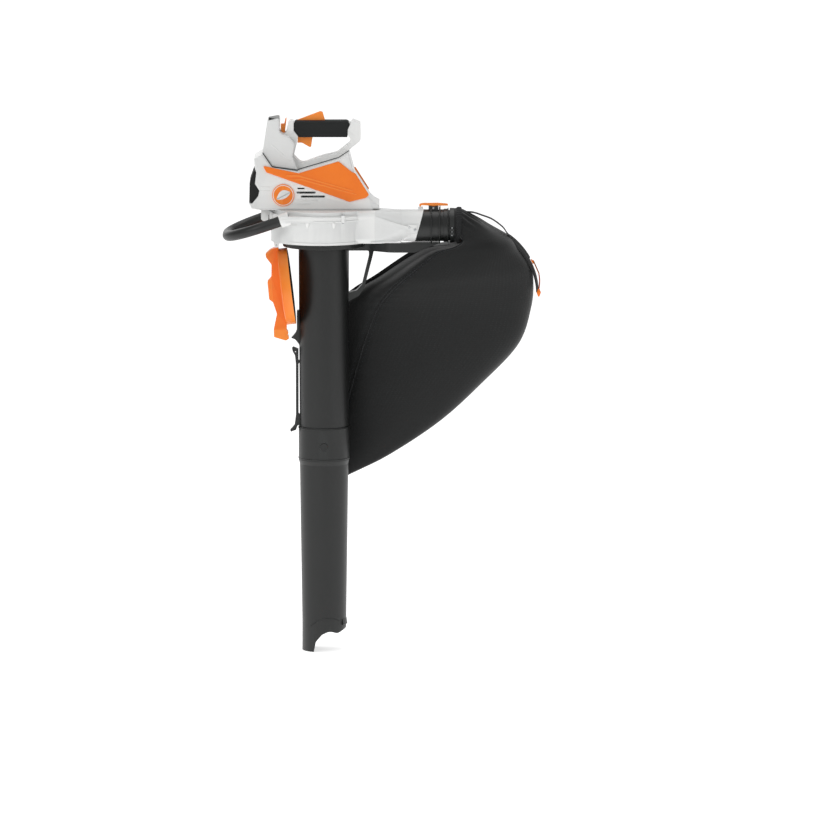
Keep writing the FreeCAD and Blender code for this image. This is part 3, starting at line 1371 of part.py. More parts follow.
def bag_trim():
    """Carry strap on top of the neck, zip slider with its pull, cord and end piece."""
    node("carry_strap", band_along("carry_strap", [
        (23, 31), (34, 28.5), (55, 22.5), (79, 12.5), (102, -5), (114, -21),
    ], 20, 1.6, 8))
    arc = value(D.tooth_radius)
    angle = math.radians(ZIP_START)
    out = Vector(math.cos(angle), -ZIP_LEAN * math.sin(angle), math.sin(angle))
    along = Vector(math.sin(angle), ZIP_LEAN * math.cos(angle), -math.cos(angle))
    place = BAG_NECK + Vector(*ZIP_CENTRE) + out * arc
    turn = Rotation(out, Vector(0, 1, 0), -along, "ZXY")
    slider = fused("slider_parts", block("slider_plate", -4, -5, 0, 8, 10, 3), block("slider_bail", -1.2, -3, 3, 2.4, 6, 3))
    slider.Placement = Placement(place, turn)
    node("zip_slider", slider)
    eye = place + out * 4.6
    node("zip_tab", feature("zip_tab", pull_piece(eye + Vector(1.2, 0, -3), eye + Vector(12, 0, -27), 2.6, 8)))
    low = eye + Vector(12, 0, -27)
    node("zip_cord", feature("zip_cord", cord_tube([low + Vector(0, 0, -0.2)] + [low + Vector(*step) for step in CORD])))
    end = low + Vector(*CORD[-1])
    node("zip_end", feature("zip_end", Part.makeCone(5.0, 2.2, 5, end + Vector(0, 0, -5.4)).fuse(
        Part.makeCone(1.6, 5.0, 11, end + Vector(0, 0, -16.4)))))
    return end


# The zip runs on an arc about this point, in a plane that leans ZIP_LEAN along Y per unit of Z.
ZIP_CENTRE = (21, 42, -159)
ZIP_START = 26
ZIP_LEAN = 0.2
CORD = [(1.5, 0, -9), (2.2, 0, -19), (1.2, 0, -29), (0, 0, -38)]


def pull_piece(start, stop, thick, wide):
    """A flat tab between two points."""
    along = stop - start
    piece = Part.makeBox(thick, wide, along.Length, Vector(-thick / 2, -wide / 2, 0))
    piece.Placement = Placement(start, Rotation(Vector(0, 0, 1), along))
    return piece


def cord_tube(points):
    """A round cord along runs joined by arcs of 0.45 of the shorter run."""
    edges = []
    last = points[0]
    for before, here, after in zip(points, points[1:], points[2:]):
        back = (before - here).normalize()
        ahead = (after - here).normalize()
        reach = 0.45 * min((here - before).Length, (after - here).Length)
        first, second = here + back * reach, here + ahead * reach
        half = back.getAngle(ahead) / 2
        centre = here + (back + ahead).normalize() * (reach / math.cos(half))
        middle = centre + (here - centre).normalize() * (reach * math.tan(half))
        edges.append(Part.LineSegment(last, first).toShape())
        edges.append(Part.Arc(first, middle, second).toShape())
        last = second
    edges.append(Part.LineSegment(last, points[-1]).toShape())
    path = Part.Wire(edges)
    direction = (points[1] - points[0]).normalize()
    start = Part.Wire([Part.Edge(Part.Circle(points[0], direction, value(D.cord_radius)))])
    return path.makePipeShell([start], True, True)


# ---------------------------------------------------------------- build, check and write

def build():
    lower_tube()
    upper_tube()
    lock_button()
    strap_cleat()
    bag_carrier_arm()
    fan_housing()
    discharge_duct()
    inlet_seal()
    motor()
    fan()
    housing_shell("motor_housing_left", True)
    housing_shell("motor_housing_right", False)
    side_panel("side_panel_left", -1)
    side_panel("side_panel_right", 1)
    badge("badge_left", -1)
    badge("badge_right", 1)
    front_bumper()
    electronics()
    handle_shell("handle_shell_left", True)
    handle_shell("handle_shell_right", False)
    handle_seal()
    grip_sleeve()
    controls()
    loop_handle()
    intake_cover()
    connector_sleeve()
    latch_lever()
    clamp_ring()
    bag()
    bag_trim()
    shank = value(D.shell_half) + 40
    screw_group("housing_screws", [(x, -40, ROOF + up) for x, up in BOSSES], "Y", 0,
                shank - 3.5 - 3, value(SCREW_HEAD), 3, Vector(0, 1, 0))
    spots = [(x, y, JOINT - D.rim_half - 2) for x, y in rim_spots()]
    screw_group("fan_housing_screws", spots, "Z", 0, value(D.rim_half) * 2 + 4, 3.4, 2.4, Vector(0, 0, 1))


def check_and_write():
    doc.recompute()
    failed = [f"{thing.Name} ({thing.Label})" for thing in doc.Objects
              if "Invalid" in thing.State or "Error" in thing.State]
    failed += [f"{label} has no valid solid" for label, thing in nodes.items()
               if thing.Shape.isNull() or not thing.Shape.isValid() or thing.Shape.Volume <= 0]
    if failed:
        raise RuntimeError("; ".join(failed))
    os.makedirs("parts", exist_ok=True)
    for label, thing in nodes.items():
        shape = thing.Shape
        shape.exportStep(f"parts/{label}.step")
        print(f"{label}: {len(shape.Solids)} solid(s), {shape.Volume / 1000:.1f} cm3")
    print(len(nodes), "nodes")


build()
check_and_write()
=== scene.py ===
"""Leaf vacuum mulcher: finishes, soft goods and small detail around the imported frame.

Lengths in this file are millimetres and angles are degrees; a mesh is scaled to metres as it is made.
X runs towards the bag, Y away from the viewer and Z up, from the middle of the suction mouth.
"""

import json
import logging
from dataclasses import dataclass, field
from enum import Enum
from typing import Any, Mapping, Optional, Sequence

import bpy
import numpy as np
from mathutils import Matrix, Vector


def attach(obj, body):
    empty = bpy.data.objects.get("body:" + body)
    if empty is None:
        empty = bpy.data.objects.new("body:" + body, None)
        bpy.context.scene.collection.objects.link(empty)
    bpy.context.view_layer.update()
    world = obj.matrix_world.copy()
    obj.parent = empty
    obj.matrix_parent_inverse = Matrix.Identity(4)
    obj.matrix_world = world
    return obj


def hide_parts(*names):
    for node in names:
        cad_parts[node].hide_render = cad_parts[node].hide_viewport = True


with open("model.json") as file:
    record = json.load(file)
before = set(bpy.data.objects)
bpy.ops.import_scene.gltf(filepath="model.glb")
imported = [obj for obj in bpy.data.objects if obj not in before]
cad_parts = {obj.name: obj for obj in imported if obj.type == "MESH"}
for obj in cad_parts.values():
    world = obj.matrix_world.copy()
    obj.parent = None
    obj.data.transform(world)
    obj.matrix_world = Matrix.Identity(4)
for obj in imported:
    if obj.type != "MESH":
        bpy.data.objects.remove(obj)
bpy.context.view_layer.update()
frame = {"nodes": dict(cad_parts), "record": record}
log = logging.getLogger("leaf_vacuum")

MM = 0.001
SMOOTH_ANGLE = 38.0


class Body(Enum):
    """The rigid bodies of the frame that visual pieces ride on."""

    CASING = "casing"
    COVER = "cover"
    NOZZLE = "nozzle"
    BUTTON = "button"
    TRIGGER = "trigger"
    LOCKOUT = "lockout"
    BATTERY_LATCH = "battery_latch"
    BAG = "bag_unit"
    LATCH = "latch"
    ZIP = "zip"
    ZIP_PULL = "zip_pull"


# ------------------------------------------------------------------ finishes


def linear(colour: str) -> tuple[float, float, float, float]:
    """Turn an sRGB hex colour to linear light.

    Args:
        colour: six hex digits after a hash sign.

    Returns:
        Red, green and blue in linear light, and an alpha of one.
    """
    shares = np.array([int(colour[place:place + 2], 16) for place in (1, 3, 5)]) / 255
    light = np.where(shares <= 0.04045, shares / 12.92, ((shares + 0.055) / 1.055) ** 2.4)
    return (*(float(part) for part in light), 1.0)


def add_node(tree: bpy.types.NodeTree, kind: str, settings: Optional[Mapping[Any, Any]] = None,
             links: Optional[Mapping[Any, Any]] = None) -> bpy.types.Node:
    """Add one shader node.

    Args:
        tree: the material's node tree.
        kind: the node's class name without its ShaderNode prefix.
        settings: values by input name or number, or by property name.
        links: output sockets by the name or number of the input that takes them.

    Returns:
        The new node.
    """
    made = tree.nodes.new("ShaderNode" + kind)
    for name, value in (settings or {}).items():
        if isinstance(name, int) or name in made.inputs:
            made.inputs[name].default_value = value
        else:
            setattr(made, name, value)
    for name, source in (links or {}).items():
        tree.links.new(made.inputs[name], source)
    return made


def per_metre(millimetres: float) -> float:
    """Texture scale whose pattern repeats once in this many millimetres."""
    return 1 / (millimetres * MM)


def blank(name: str) -> tuple[bpy.types.Material, bpy.types.NodeTree]:
    """A new material with an empty node tree."""
    material = bpy.data.materials.new(name)
    material.use_nodes = True
    material.node_tree.nodes.clear()
    return material, material.node_tree


def varied(tree: bpy.types.NodeTree, factor: bpy.types.NodeSocket, low: str, high: str) -> bpy.types.NodeSocket:
    """Colour socket that runs from one hex colour to another with a factor."""
    ramp = add_node(tree, "ValToRGB", links={"Fac": factor})
    ramp.color_ramp.elements[0].position, ramp.color_ramp.elements[0].color = 0.3, linear(low)
    ramp.color_ramp.elements[1].position, ramp.color_ramp.elements[1].color = 0.7, linear(high)
    return ramp.outputs["Color"]


@dataclass(frozen=True)
class MouldedPlastic:
    """Injection-moulded plastic: spark-eroded grain, faint flow marks and a painted highlight that lightens its edges.
    """

    name: str
    colour: str
    deeper: str
    roughness: float = 0.42
    grain_mm: float = 1.1
    grain_depth: float = 0.12
    # Colour of the painted highlight on edges, or empty for none.
    edge_highlight: str = ""

    def make(self) -> bpy.types.Material:
        """Build the node material.

        Returns:
            The material: grain from fine noise, tone from broad noise, a painted highlight on the edges.
        """
        material, tree = blank(self.name)
        place = add_node(tree, "TexCoord").outputs["Object"]
        flow = add_node(tree, "TexNoise", {"Scale": per_metre(85), "Detail": 4.0}, {"Vector": place})
        grain = add_node(tree, "TexNoise", {"Scale": per_metre(self.grain_mm), "Detail": 3.0, "Roughness": 0.6},
                         {"Vector": place})
        colour = varied(tree, flow.outputs["Fac"], self.deeper, self.colour)
        # Painted highlight: edges found by pointiness get a lighter colour.
        if self.edge_highlight:
            edge = add_node(tree, "NewGeometry")
            edge_highlight_share = add_node(tree, "MapRange", {1: 0.53, 2: 0.60, 4: 0.5}, {0: edge.outputs["Pointiness"]})
            mixed = add_node(tree, "Mix", {"data_type": "RGBA", 7: linear(self.edge_highlight)},
                             {0: edge_highlight_share.outputs["Result"], 6: colour})
            colour = mixed.outputs[2]
        rough = add_node(tree, "MapRange", {1: 0.3, 2: 0.7, 3: self.roughness - 0.05, 4: self.roughness + 0.07},
                         {0: grain.outputs["Fac"]})
        bump = add_node(tree, "Bump", {"Strength": self.grain_depth, "Distance": 0.0004},
                        {"Height": grain.outputs["Fac"]})
        shader = add_node(tree, "BsdfPrincipled", {"IOR": 1.53, "Specular IOR Level": 0.5},
                          {"Base Color": colour, "Roughness": rough.outputs["Result"],
                           "Normal": bump.outputs["Normal"]})
        add_node(tree, "OutputMaterial", links={"Surface": shader.outputs["BSDF"]})
        return material


@dataclass(frozen=True)
class GripRubber:
    """Soft-touch overmould: a pebbled skin of cells 2.4 mm apart that scatters light broadly."""

    name: str
    colour: str
    deeper: str
    cell_mm: float = 2.4
    depth: float = 0.5

    def make(self) -> bpy.types.Material:
        """Build the node material.

        Returns:
            The material: raised pebbles from a Voronoi pattern over a dusty tone.
        """
        material, tree = blank(self.name)
        place = add_node(tree, "TexCoord").outputs["Object"]
        cells = add_node(tree, "TexVoronoi", {"Scale": per_metre(self.cell_mm), "Randomness": 0.35}, {"Vector": place})
        dust = add_node(tree, "TexNoise", {"Scale": per_metre(30), "Detail": 5.0}, {"Vector": place})
        colour = varied(tree, dust.outputs["Fac"], self.deeper, self.colour)
        bump = add_node(tree, "Bump", {"Strength": self.depth, "Distance": 0.0005, "invert": True},
                        {"Height": cells.outputs["Distance"]})
        rough = add_node(tree, "MapRange", {1: 0.2, 2: 0.8, 3: 0.62, 4: 0.8}, {0: dust.outputs["Fac"]})
        shader = add_node(tree, "BsdfPrincipled", {"IOR": 1.5, "Specular IOR Level": 0.35},
                          {"Base Color": colour, "Roughness": rough.outputs["Result"],
                           "Normal": bump.outputs["Normal"]})
        add_node(tree, "OutputMaterial", links={"Surface": shader.outputs["BSDF"]})
        return material


@dataclass(frozen=True)
class WovenFabric:
    """Plain-woven polyester: two crossed sets of threads, a soft sheen and a few slubs."""

    name: str
    colour: str
    thread: str
    pitch_mm: float
    depth: float = 0.35
    sheen: float = 0.25

    def make(self) -> bpy.types.Material:
        """Build the node material on the piece's own UV map, whose unit is one metre of cloth.

        Returns:
            The material: warp and weft from two sine waves, broad tone from noise.
        """
        material, tree = blank(self.name)
        cloth = add_node(tree, "UVMap").outputs["UV"]
        place = add_node(tree, "TexCoord").outputs["Object"]
        waves = [add_node(tree, "TexWave", {"wave_type": "BANDS", "bands_direction": way,
                                            "Scale": per_metre(self.pitch_mm) / (2 * np.pi) * 0.99,
                                            "Distortion": 0.6, "Detail": 1.0, "Detail Scale": 2.0},
                          {"Vector": cloth}).outputs["Fac"] for way in ("X", "Y")]
        weave = add_node(tree, "Math", {"operation": "MULTIPLY"}, {0: waves[0], 1: waves[1]}).outputs["Value"]
        tone = add_node(tree, "TexNoise", {"Scale": per_metre(60), "Detail": 4.0}, {"Vector": place})
        share = add_node(tree, "Math", {"operation": "MULTIPLY"}, {0: weave, 1: tone.outputs["Fac"]}).outputs["Value"]
        colour = varied(tree, share, self.colour, self.thread)
        bump = add_node(tree, "Bump", {"Strength": self.depth, "Distance": 0.0004}, {"Height": weave})
        shader = add_node(tree, "BsdfPrincipled",
                          {"Roughness": 0.78, "IOR": 1.5, "Specular IOR Level": 0.3, "Sheen Weight": self.sheen,
                           "Sheen Roughness": 0.45},
                          {"Base Color": colour, "Normal": bump.outputs["Normal"]})
        add_node(tree, "OutputMaterial", links={"Surface": shader.outputs["BSDF"]})
        return material


@dataclass(frozen=True)
class WorkedMetal:
    """Turned, pressed or cast metal: fine directional marks over a nearly neutral reflection."""

    name: str
    colour: str
    deeper: str
    roughness: float = 0.32
    mark_mm: float = 0.9
    stretch: float = 6.0

    def make(self) -> bpy.types.Material:
        """Build the node material.

        Returns:
            The material: marks from noise that is stretched along Z.
        """
        material, tree = blank(self.name)
        place = add_node(tree, "TexCoord").outputs["Object"]
        turned = add_node(tree, "Mapping", {"Scale": (1.0, 1.0, 1 / self.stretch)}, {"Vector": place})
        marks = add_node(tree, "TexNoise", {"Scale": per_metre(self.mark_mm), "Detail": 5.0},
                         {"Vector": turned.outputs["Vector"]})
        rough = add_node(tree, "MapRange", {1: 0.3, 2: 0.7, 3: self.roughness - 0.08, 4: self.roughness + 0.1},
                         {0: marks.outputs["Fac"]})
        bump = add_node(tree, "Bump", {"Strength": 0.15, "Distance": 0.0001}, {"Height": marks.outputs["Fac"]})
        shader = add_node(tree, "BsdfPrincipled", {"Metallic": 1.0},
                          {"Base Color": varied(tree, marks.outputs["Fac"], self.deeper, self.colour),
                           "Roughness": rough.outputs["Result"], "Normal": bump.outputs["Normal"]})
        add_node(tree, "OutputMaterial", links={"Surface": shader.outputs["BSDF"]})
        return material


@dataclass(frozen=True)
class StudioFloor:
    """Matt studio floor, nearly white."""

    name: str = "studio_floor_paint"
    colour: str = "#fafafa"
    glow: float = 0.66

    def make(self) -> bpy.types.Material:
        """A plain matt material."""
        material, tree = blank(self.name)
        shader = add_node(tree, "BsdfPrincipled", {"Base Color": linear(self.colour), "Roughness": 0.95,
                                                   "Specular IOR Level": 0.0,
                                                   "Emission Color": linear(self.colour),
                                                   "Emission Strength": self.glow})
        add_node(tree, "OutputMaterial", links={"Surface": shader.outputs["BSDF"]})
        return material


FINISHES: dict[str, Any] = {
    # Light grey ABS, spark-eroded: near white, with a painted highlight along its edges.
    "light_grey_abs": MouldedPlastic("light_grey_abs", "#e2e3e2", "#dadbda", 0.40, 0.9, 0.10, "#f7f7f5"),
    # Orange glass-filled polyamide: saturated and a little glossier than the casing; its last colour is a painted
    # highlight on edges.
    "orange_pa": MouldedPlastic("orange_pa", "#f77c06", "#ee7000", 0.36, 0.9, 0.08, "#ffa040"),
    # Black polypropylene of the tubes and pipes: soft, wide highlights, and a painted highlight on edges.
    "black_pp": MouldedPlastic("black_pp", "#111312", "#0d0f0e", 0.42, 1.0, 0.14, "#232625"),
    # Styrene-block overmould on grip and bumper: pebbled and dull.
    "grip_rubber": GripRubber("grip_rubber", "#1d1f1f", "#151717"),
    # Closed-cell foam gasket: matt, with small open cells.
    "seal_foam": GripRubber("seal_foam", "#3a4045", "#2c3033", 1.3, 0.3),
    # Plain-woven polyester drawn at a 2.6 mm pitch, coarser than life so that it shows.
    "black_fabric": WovenFabric("black_fabric", "#151616", "#202222", 2.6),
    # Narrow-loom webbing with a heavier rib than the bag cloth.
    "webbing": WovenFabric("webbing", "#1d1e1f", "#333637", 2.2, 0.7, 0.15),
    # Braided polyester cord.
    "orange_cord": WovenFabric("orange_cord", "#a43208", "#f47a10", 2.4, 0.8, 0.2),
    # Zinc-plated machined steel of pins, screws and shafts.
    "steel": WorkedMetal("steel", "#c9cbcd", "#a9acae"),
    # Blued edge of stacked electrical sheet.
    "lamination": WorkedMetal("lamination", "#8b8f93", "#65686c", 0.42, 0.5, 0.08),
    # Ground rotor steel.
    "magnet_steel": WorkedMetal("magnet_steel", "#9a9da1", "#7b7e82", 0.3, 0.6, 0.2),
    # Drawn music wire.
    "spring_steel": WorkedMetal("spring_steel", "#b5b8ba", "#909396", 0.25, 0.5, 1.0),
    # Glass-epoxy board under green solder mask.
    "circuit_board": MouldedPlastic("circuit_board", "#1d6b3c", "#16532e", 0.3, 2.5, 0.2),
    # Die-cast aluminium of the motor frame, shot-blasted.
    "cast_aluminium": WorkedMetal("cast_aluminium", "#b9bcbe", "#9fa3a6", 0.5, 0.8, 1.0),
}
MATERIALS: dict[str, bpy.types.Material] = {}


def finish_of(slot: str) -> bpy.types.Material:
    """The material of a slot, made on its first use."""
    if slot not in MATERIALS:
        MATERIALS[slot] = FINISHES[slot].make()
    return MATERIALS[slot]


# ------------------------------------------------------------------ surfaces


def points_of(*places: Sequence[float]) -> np.ndarray:
    """Points as an array of floats, one row each."""
    return np.array(places, float)


def smooth_line(places: np.ndarray, count: int) -> np.ndarray:
    """Catmull-Rom line: between two points the tangents are half the step between their neighbours.

    Args:
        places: the points it passes through, one row each.
        count: how many points to return.

    Returns:
        Points along the line, evenly spread in its parameter.
    """
    padded = np.vstack([2 * places[0] - places[1], places, 2 * places[-1] - places[-2]])
    along = np.linspace(0, len(places) - 1 - 1e-9, count)
    first = along.astype(int)
    t = (along - first)[:, None]
    a, b, c, d = (padded[first + step] for step in range(4))
    return 0.5 * (2 * b + (c - a) * t + (2 * a - 5 * b + 4 * c - d) * t ** 2 + (3 * b - a - 3 * c + d) * t ** 3)


def rounded(corners: np.ndarray, radius: float | np.ndarray, steps: int = 6) -> np.ndarray:
    """Closed outline whose corners are parabolas that touch both sides at the given distance.

    Args:
        corners: the outline's corners, in order.
        radius: distance from each corner at which its curve starts.
        steps: points on each corner.

    Returns:
        The outline's points, in order.
    """
    before, after = np.roll(corners, 1, 0) - corners, np.roll(corners, -1, 0) - corners
    reach = np.broadcast_to(np.asarray(radius, float), len(corners))[:, None]
    start = corners + before / np.linalg.norm(before, axis=1, keepdims=True) * reach
    stop = corners + after / np.linalg.norm(after, axis=1, keepdims=True) * reach
    t = np.linspace(0, 1, steps)[None, :, None]
    curve = (1 - t) ** 2 * start[:, None] + 2 * t * (1 - t) * corners[:, None] + t ** 2 * stop[:, None]
    return curve.reshape(-1, corners.shape[1])


def grown(outline: np.ndarray, distance: float) -> np.ndarray:
    """A closed plane outline moved outwards along its normals: the tangent at a point, turned a quarter."""
    tangent = np.roll(outline, -1, 0) - np.roll(outline, 1, 0)
    tangent /= np.maximum(np.linalg.norm(tangent, axis=1, keepdims=True), 1e-9)
    area = np.sum(outline[:, 0] * np.roll(outline[:, 1], -1) - outline[:, 1] * np.roll(outline[:, 0], -1))
    normal = np.stack([tangent[:, 1], -tangent[:, 0]], 1) * (1 if area > 0 else -1)
    return outline + normal * distance


def angle_of(turn: np.ndarray) -> np.ndarray:
    """The same turn between minus half and half a circle."""
    return np.arctan2(np.sin(turn), np.cos(turn))


def arc_points(radius: float, start: float, stop: float, count: int) -> np.ndarray:
    """Points (cos, sin) times a radius, from one angle to another."""
    angle = np.radians(np.linspace(start, stop, count))
    return np.stack([np.cos(angle), np.sin(angle)], 1) * radius


class Skin:
    """A mesh worked out on grids: each grid is an array of rows of points, in millimetres."""

    def __init__(self) -> None:
        """Start with no points."""
        self.points: list[np.ndarray] = []
        self.faces: list[Sequence[int]] = []
        self.total = 0

    def grid(self, rows: np.ndarray, columns_closed: bool = True, rows_closed: bool = False,
             capped: bool = True) -> "Skin":
        """Add a grid of quads, turned so that a closed one faces outwards.

        Args:
            rows: points by row and column.
            columns_closed: whether the last column joins the first.
            rows_closed: whether the last row joins the first.
            capped: whether the first and last rows are closed with one face each.

        Returns:
            This skin.
        """
        high, wide = rows.shape[:2]
        index = np.arange(high * wide).reshape(high, wide)
        below, above = (index, np.roll(index, -1, 0)) if rows_closed else (index[:-1], index[1:])
        quads = np.stack([below, np.roll(below, -1, 1), np.roll(above, -1, 1), above], -1)
        if not columns_closed:
            quads = quads[:, :-1]
        quads = quads.reshape(-1, 4)
        flat = rows.reshape(-1, 3)
        corner = flat[quads] - flat.mean(0)
        volume = np.einsum("ij,ij->", corner[:, 0], np.cross(corner[:, 1], corner[:, 2]))
        volume += np.einsum("ij,ij->", corner[:, 0], np.cross(corner[:, 2], corner[:, 3]))
        lids = [index[0][::-1], index[-1]] if capped and columns_closed and not rows_closed else []
        if volume < 0:
            quads, lids = quads[:, ::-1], [lid[::-1] for lid in lids]
        self.faces += (quads + self.total).tolist() + [(lid + self.total).tolist() for lid in lids]
        self.points.append(flat)
        self.total += len(flat)
        return self

    def copies(self, rows: np.ndarray, places: np.ndarray, frames: np.ndarray) -> "Skin":
        """Add one small closed grid many times.

        Args:
            rows: the shape's grid about its own origin.
            places: where each copy goes.
            frames: for each copy, three rows that its X, Y and Z turn to.

        Returns:
            This skin.
        """
        for place, axes in zip(places, frames):
            self.grid(rows @ axes + place)
        return self

    def make(self, name: str, slot: str, body: Body, bevel: float = 0.0, smooth: float = SMOOTH_ANGLE,
             uv: Optional[np.ndarray] = None) -> bpy.types.Object:
        """Turn the grids to an object that rides on a body.

        Args:
            name: the piece's name.
            slot: its material slot.
            body: the body it moves with.
            bevel: width of a finishing bevel, or 0 for none.
            smooth: edges sharper than this many degrees stay sharp.
            uv: a UV place in metres for each point, or None.

        Returns:
            The new object.
        """
        mesh = bpy.data.meshes.new(name)
        mesh.from_pydata(np.vstack(self.points) * MM, [], self.faces)
        mesh.validate()
        mesh.shade_smooth()
        mesh.set_sharp_from_angle(angle=float(np.radians(smooth)))
        if uv is not None:
            corner = np.zeros(len(mesh.loops), np.int32)
            mesh.loops.foreach_get("vertex_index", corner)
            mesh.uv_layers.new(name="UVMap").data.foreach_set("uv", uv[corner].astype(np.float32).ravel())
        thing = bpy.data.objects.new(name, mesh)
        bpy.context.scene.collection.objects.link(thing)
        thing.data.materials.append(finish_of(slot))
        if bevel:
            cut = thing.modifiers.new("edge_rounding", "BEVEL")
            cut.width, cut.segments, cut.limit_method = bevel * MM, 2, "ANGLE"
        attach(thing, body.value)
        log.info("%s rides on %s in %s", name, body.value, slot)
        return thing


def turned_rows(profile: np.ndarray, centre: Sequence[float], axis: Sequence[float], start: float = 0,
                stop: float = 360, count: int = 96) -> np.ndarray:
    """Surface of revolution: the point (r, h) of the profile goes to centre + h axis + r (u cos a + v sin a).

    Args:
        profile: radius and height of each point.
        centre: a point on the axis.
        axis: the axis it turns about.
        start: first angle.
        stop: last angle.
        count: how many angles.

    Returns:
        Points by angle and profile place; a full turn leaves out the repeated last angle.
    """
    along = np.array(axis, float) / np.linalg.norm(axis)
    helper = np.array([1.0, 0, 0]) if abs(along[0]) < 0.9 else np.array([0, 1.0, 0])
    u = helper - along * helper.dot(along)
    u /= np.linalg.norm(u)
    v = np.cross(along, u)
    angle = np.radians(np.linspace(start, stop, count, endpoint=abs(stop - start) < 360))[:, None, None]
    out = np.cos(angle) * u + np.sin(angle) * v
    return np.array(centre, float) + profile[None, :, :1] * out + profile[None, :, 1:] * along


def swept_rows(path: np.ndarray, profile: np.ndarray, up: Sequence[float] = (0, 0, 1),
               scale: Optional[np.ndarray] = None) -> np.ndarray:
    """Profile carried along a path: its first axis is up x tangent and its second is tangent x that.

    Args:
        path: points of the path.
        profile: closed outline, sideways and upwards.
        up: direction that the profile's second axis leans to, or one for each path point.
        scale: size of the profile at each path point, or None for one.

    Returns:
        Points by path place and profile place.
    """
    tangent = np.gradient(path, axis=0)
    tangent /= np.linalg.norm(tangent, axis=1, keepdims=True)
    side = np.cross(np.broadcast_to(np.array(up, float), path.shape), tangent)
    side /= np.linalg.norm(side, axis=1, keepdims=True)
    lift = np.cross(tangent, side)
    size = np.ones(len(path)) if scale is None else scale
    return (path[:, None] + profile[None, :, :1] * side[:, None] * size[:, None, None]
            + profile[None, :, 1:] * lift[:, None] * size[:, None, None])


def slab_rows(outline: np.ndarray, levels: Sequence[tuple[float, float]]) -> np.ndarray:
    """Plate seen from the side: the XZ outline grown by each level's first number, at Y of its second.

    Args:
        outline: X and Z of the closed outline.
        levels: growth and Y of each ring, from one face to the other.

    Returns:
        Points by ring and outline place.
    """
    rings = [np.insert(grown(outline, growth), 1, depth, axis=1) for growth, depth in levels]
    return np.stack(rings)


def circle(radius: float, count: int = 12) -> np.ndarray:
    """Closed circle about the origin."""
    return arc_points(radius, 0, 360 - 360 / count, count)


def box_rows(length: float, width: float, height: float, taper: float = 1.0) -> np.ndarray:
    """Small block about the origin whose top is tapered: two square rings, one above the other."""
    ring = points_of((-1, -1), (1, -1), (1, 1), (-1, 1)) * np.array([length, width]) / 2
    return np.stack([np.insert(ring, 2, -height / 2, axis=1), np.insert(ring * taper, 2, height / 2, axis=1)])


# ------------------------------------------------------------------ sub-assemblies


@dataclass
class FanCasing:
    """Rim beads, screw bosses and ribs of the white fan casing and discharge pipe."""

    centre: tuple[float, float] = (-6.0, 0.0)
    rim_radius: float = 118.0
    floor: float = 874.0
    joint: float = 933.0
    bead: float = 1.5
    near_arc: tuple[float, float] = (-132.0, -44.0)
    far_arc: tuple[float, float] = (8.0, 132.0)
    duct_screws: tuple[tuple[float, float], ...] = ((193.5, 911.5), (206.5, 907.0))
    boss_face: float = -83.8

    def build(self) -> None:
        """Make every piece of detail on the fan casing."""
        self.beads()
        self.floor_band()
        self.bosses()
        self.duct_ribs()

    def beads(self) -> None:
        """Two half-round beads above and below the joint: circles about the casing's centre."""
        for arc, side in ((self.near_arc, "near"), (self.far_arc, "far")):
            skin = Skin()
            for lift in (-4.5, 4.5):
                round_path = arc_points(self.rim_radius + 0.2, *arc, 90)
                path = np.insert(round_path + self.centre, 2, self.joint + lift, axis=1)
                skin.grid(swept_rows(path, circle(self.bead)))
            skin.make(f"rim_beads_{side}", "light_grey_abs", Body.CASING)

    def floor_band(self) -> None:
        """Thin bead just above the casing floor."""
        skin = Skin()
        path = np.insert(arc_points(114.2, -128, -44, 80) + self.centre, 2, self.floor + 5, axis=1)
        skin.grid(swept_rows(path, circle(1.2)))
        path = np.insert(arc_points(114.2, 8, 128, 80) + self.centre, 2, self.floor + 5, axis=1)
        skin.grid(swept_rows(path, circle(1.2)))
        skin.make("floor_beads", "light_grey_abs", Body.CASING)

    def bosses(self) -> None:
        """Upright half-round bosses under the rim, one below each clamping screw."""
        skin = Skin()
        for angle in (-75.0, 60.0, 100.0, -105.0):
            turn = np.radians(angle)
            foot = (self.centre[0] + 114.5 * np.cos(turn), 114.5 * np.sin(turn), self.joint - 20)
            skin.grid(turned_rows(points_of((0.01, 0), (2.2, 0.6), (4.6, 12.5), (0.01, 12.6)), foot, (0, 0, 1), count=24),
                      columns_closed=False, rows_closed=True, capped=False)
        skin.make("rim_bosses", "light_grey_abs", Body.CASING)

    def duct_ribs(self) -> None:
        """Joint ribs round the discharge pipe and the two screws of its boss."""
        skin = Skin()
        rib = rounded(points_of((105, 877), (172, 877), (188, 886.5), (196, 892), (194, 894), (186, 889), (171, 879.5),
                                (105, 879.5)), 1.0, 3)
        skin.grid(slab_rows(rib, [(-0.6, -82.0), (0, -83.6), (0, -84.2), (-0.8, -84.6)]))
        skin.make("duct_rib_low", "light_grey_abs", Body.CASING)
        heads = Skin()
        for across, up in self.duct_screws:
            heads.grid(turned_rows(points_of((0.01, -1.0), (3.0, -1.0), (3.0, 0.7), (2.2, 1.3), (1.5, 1.3), (1.3, 0.2),
                                             (0.01, 0.2)), (across, self.boss_face, up), (0, -1, 0), count=24),
                       columns_closed=False, rows_closed=True, capped=False)
        heads.make("duct_screws", "steel", Body.CASING)


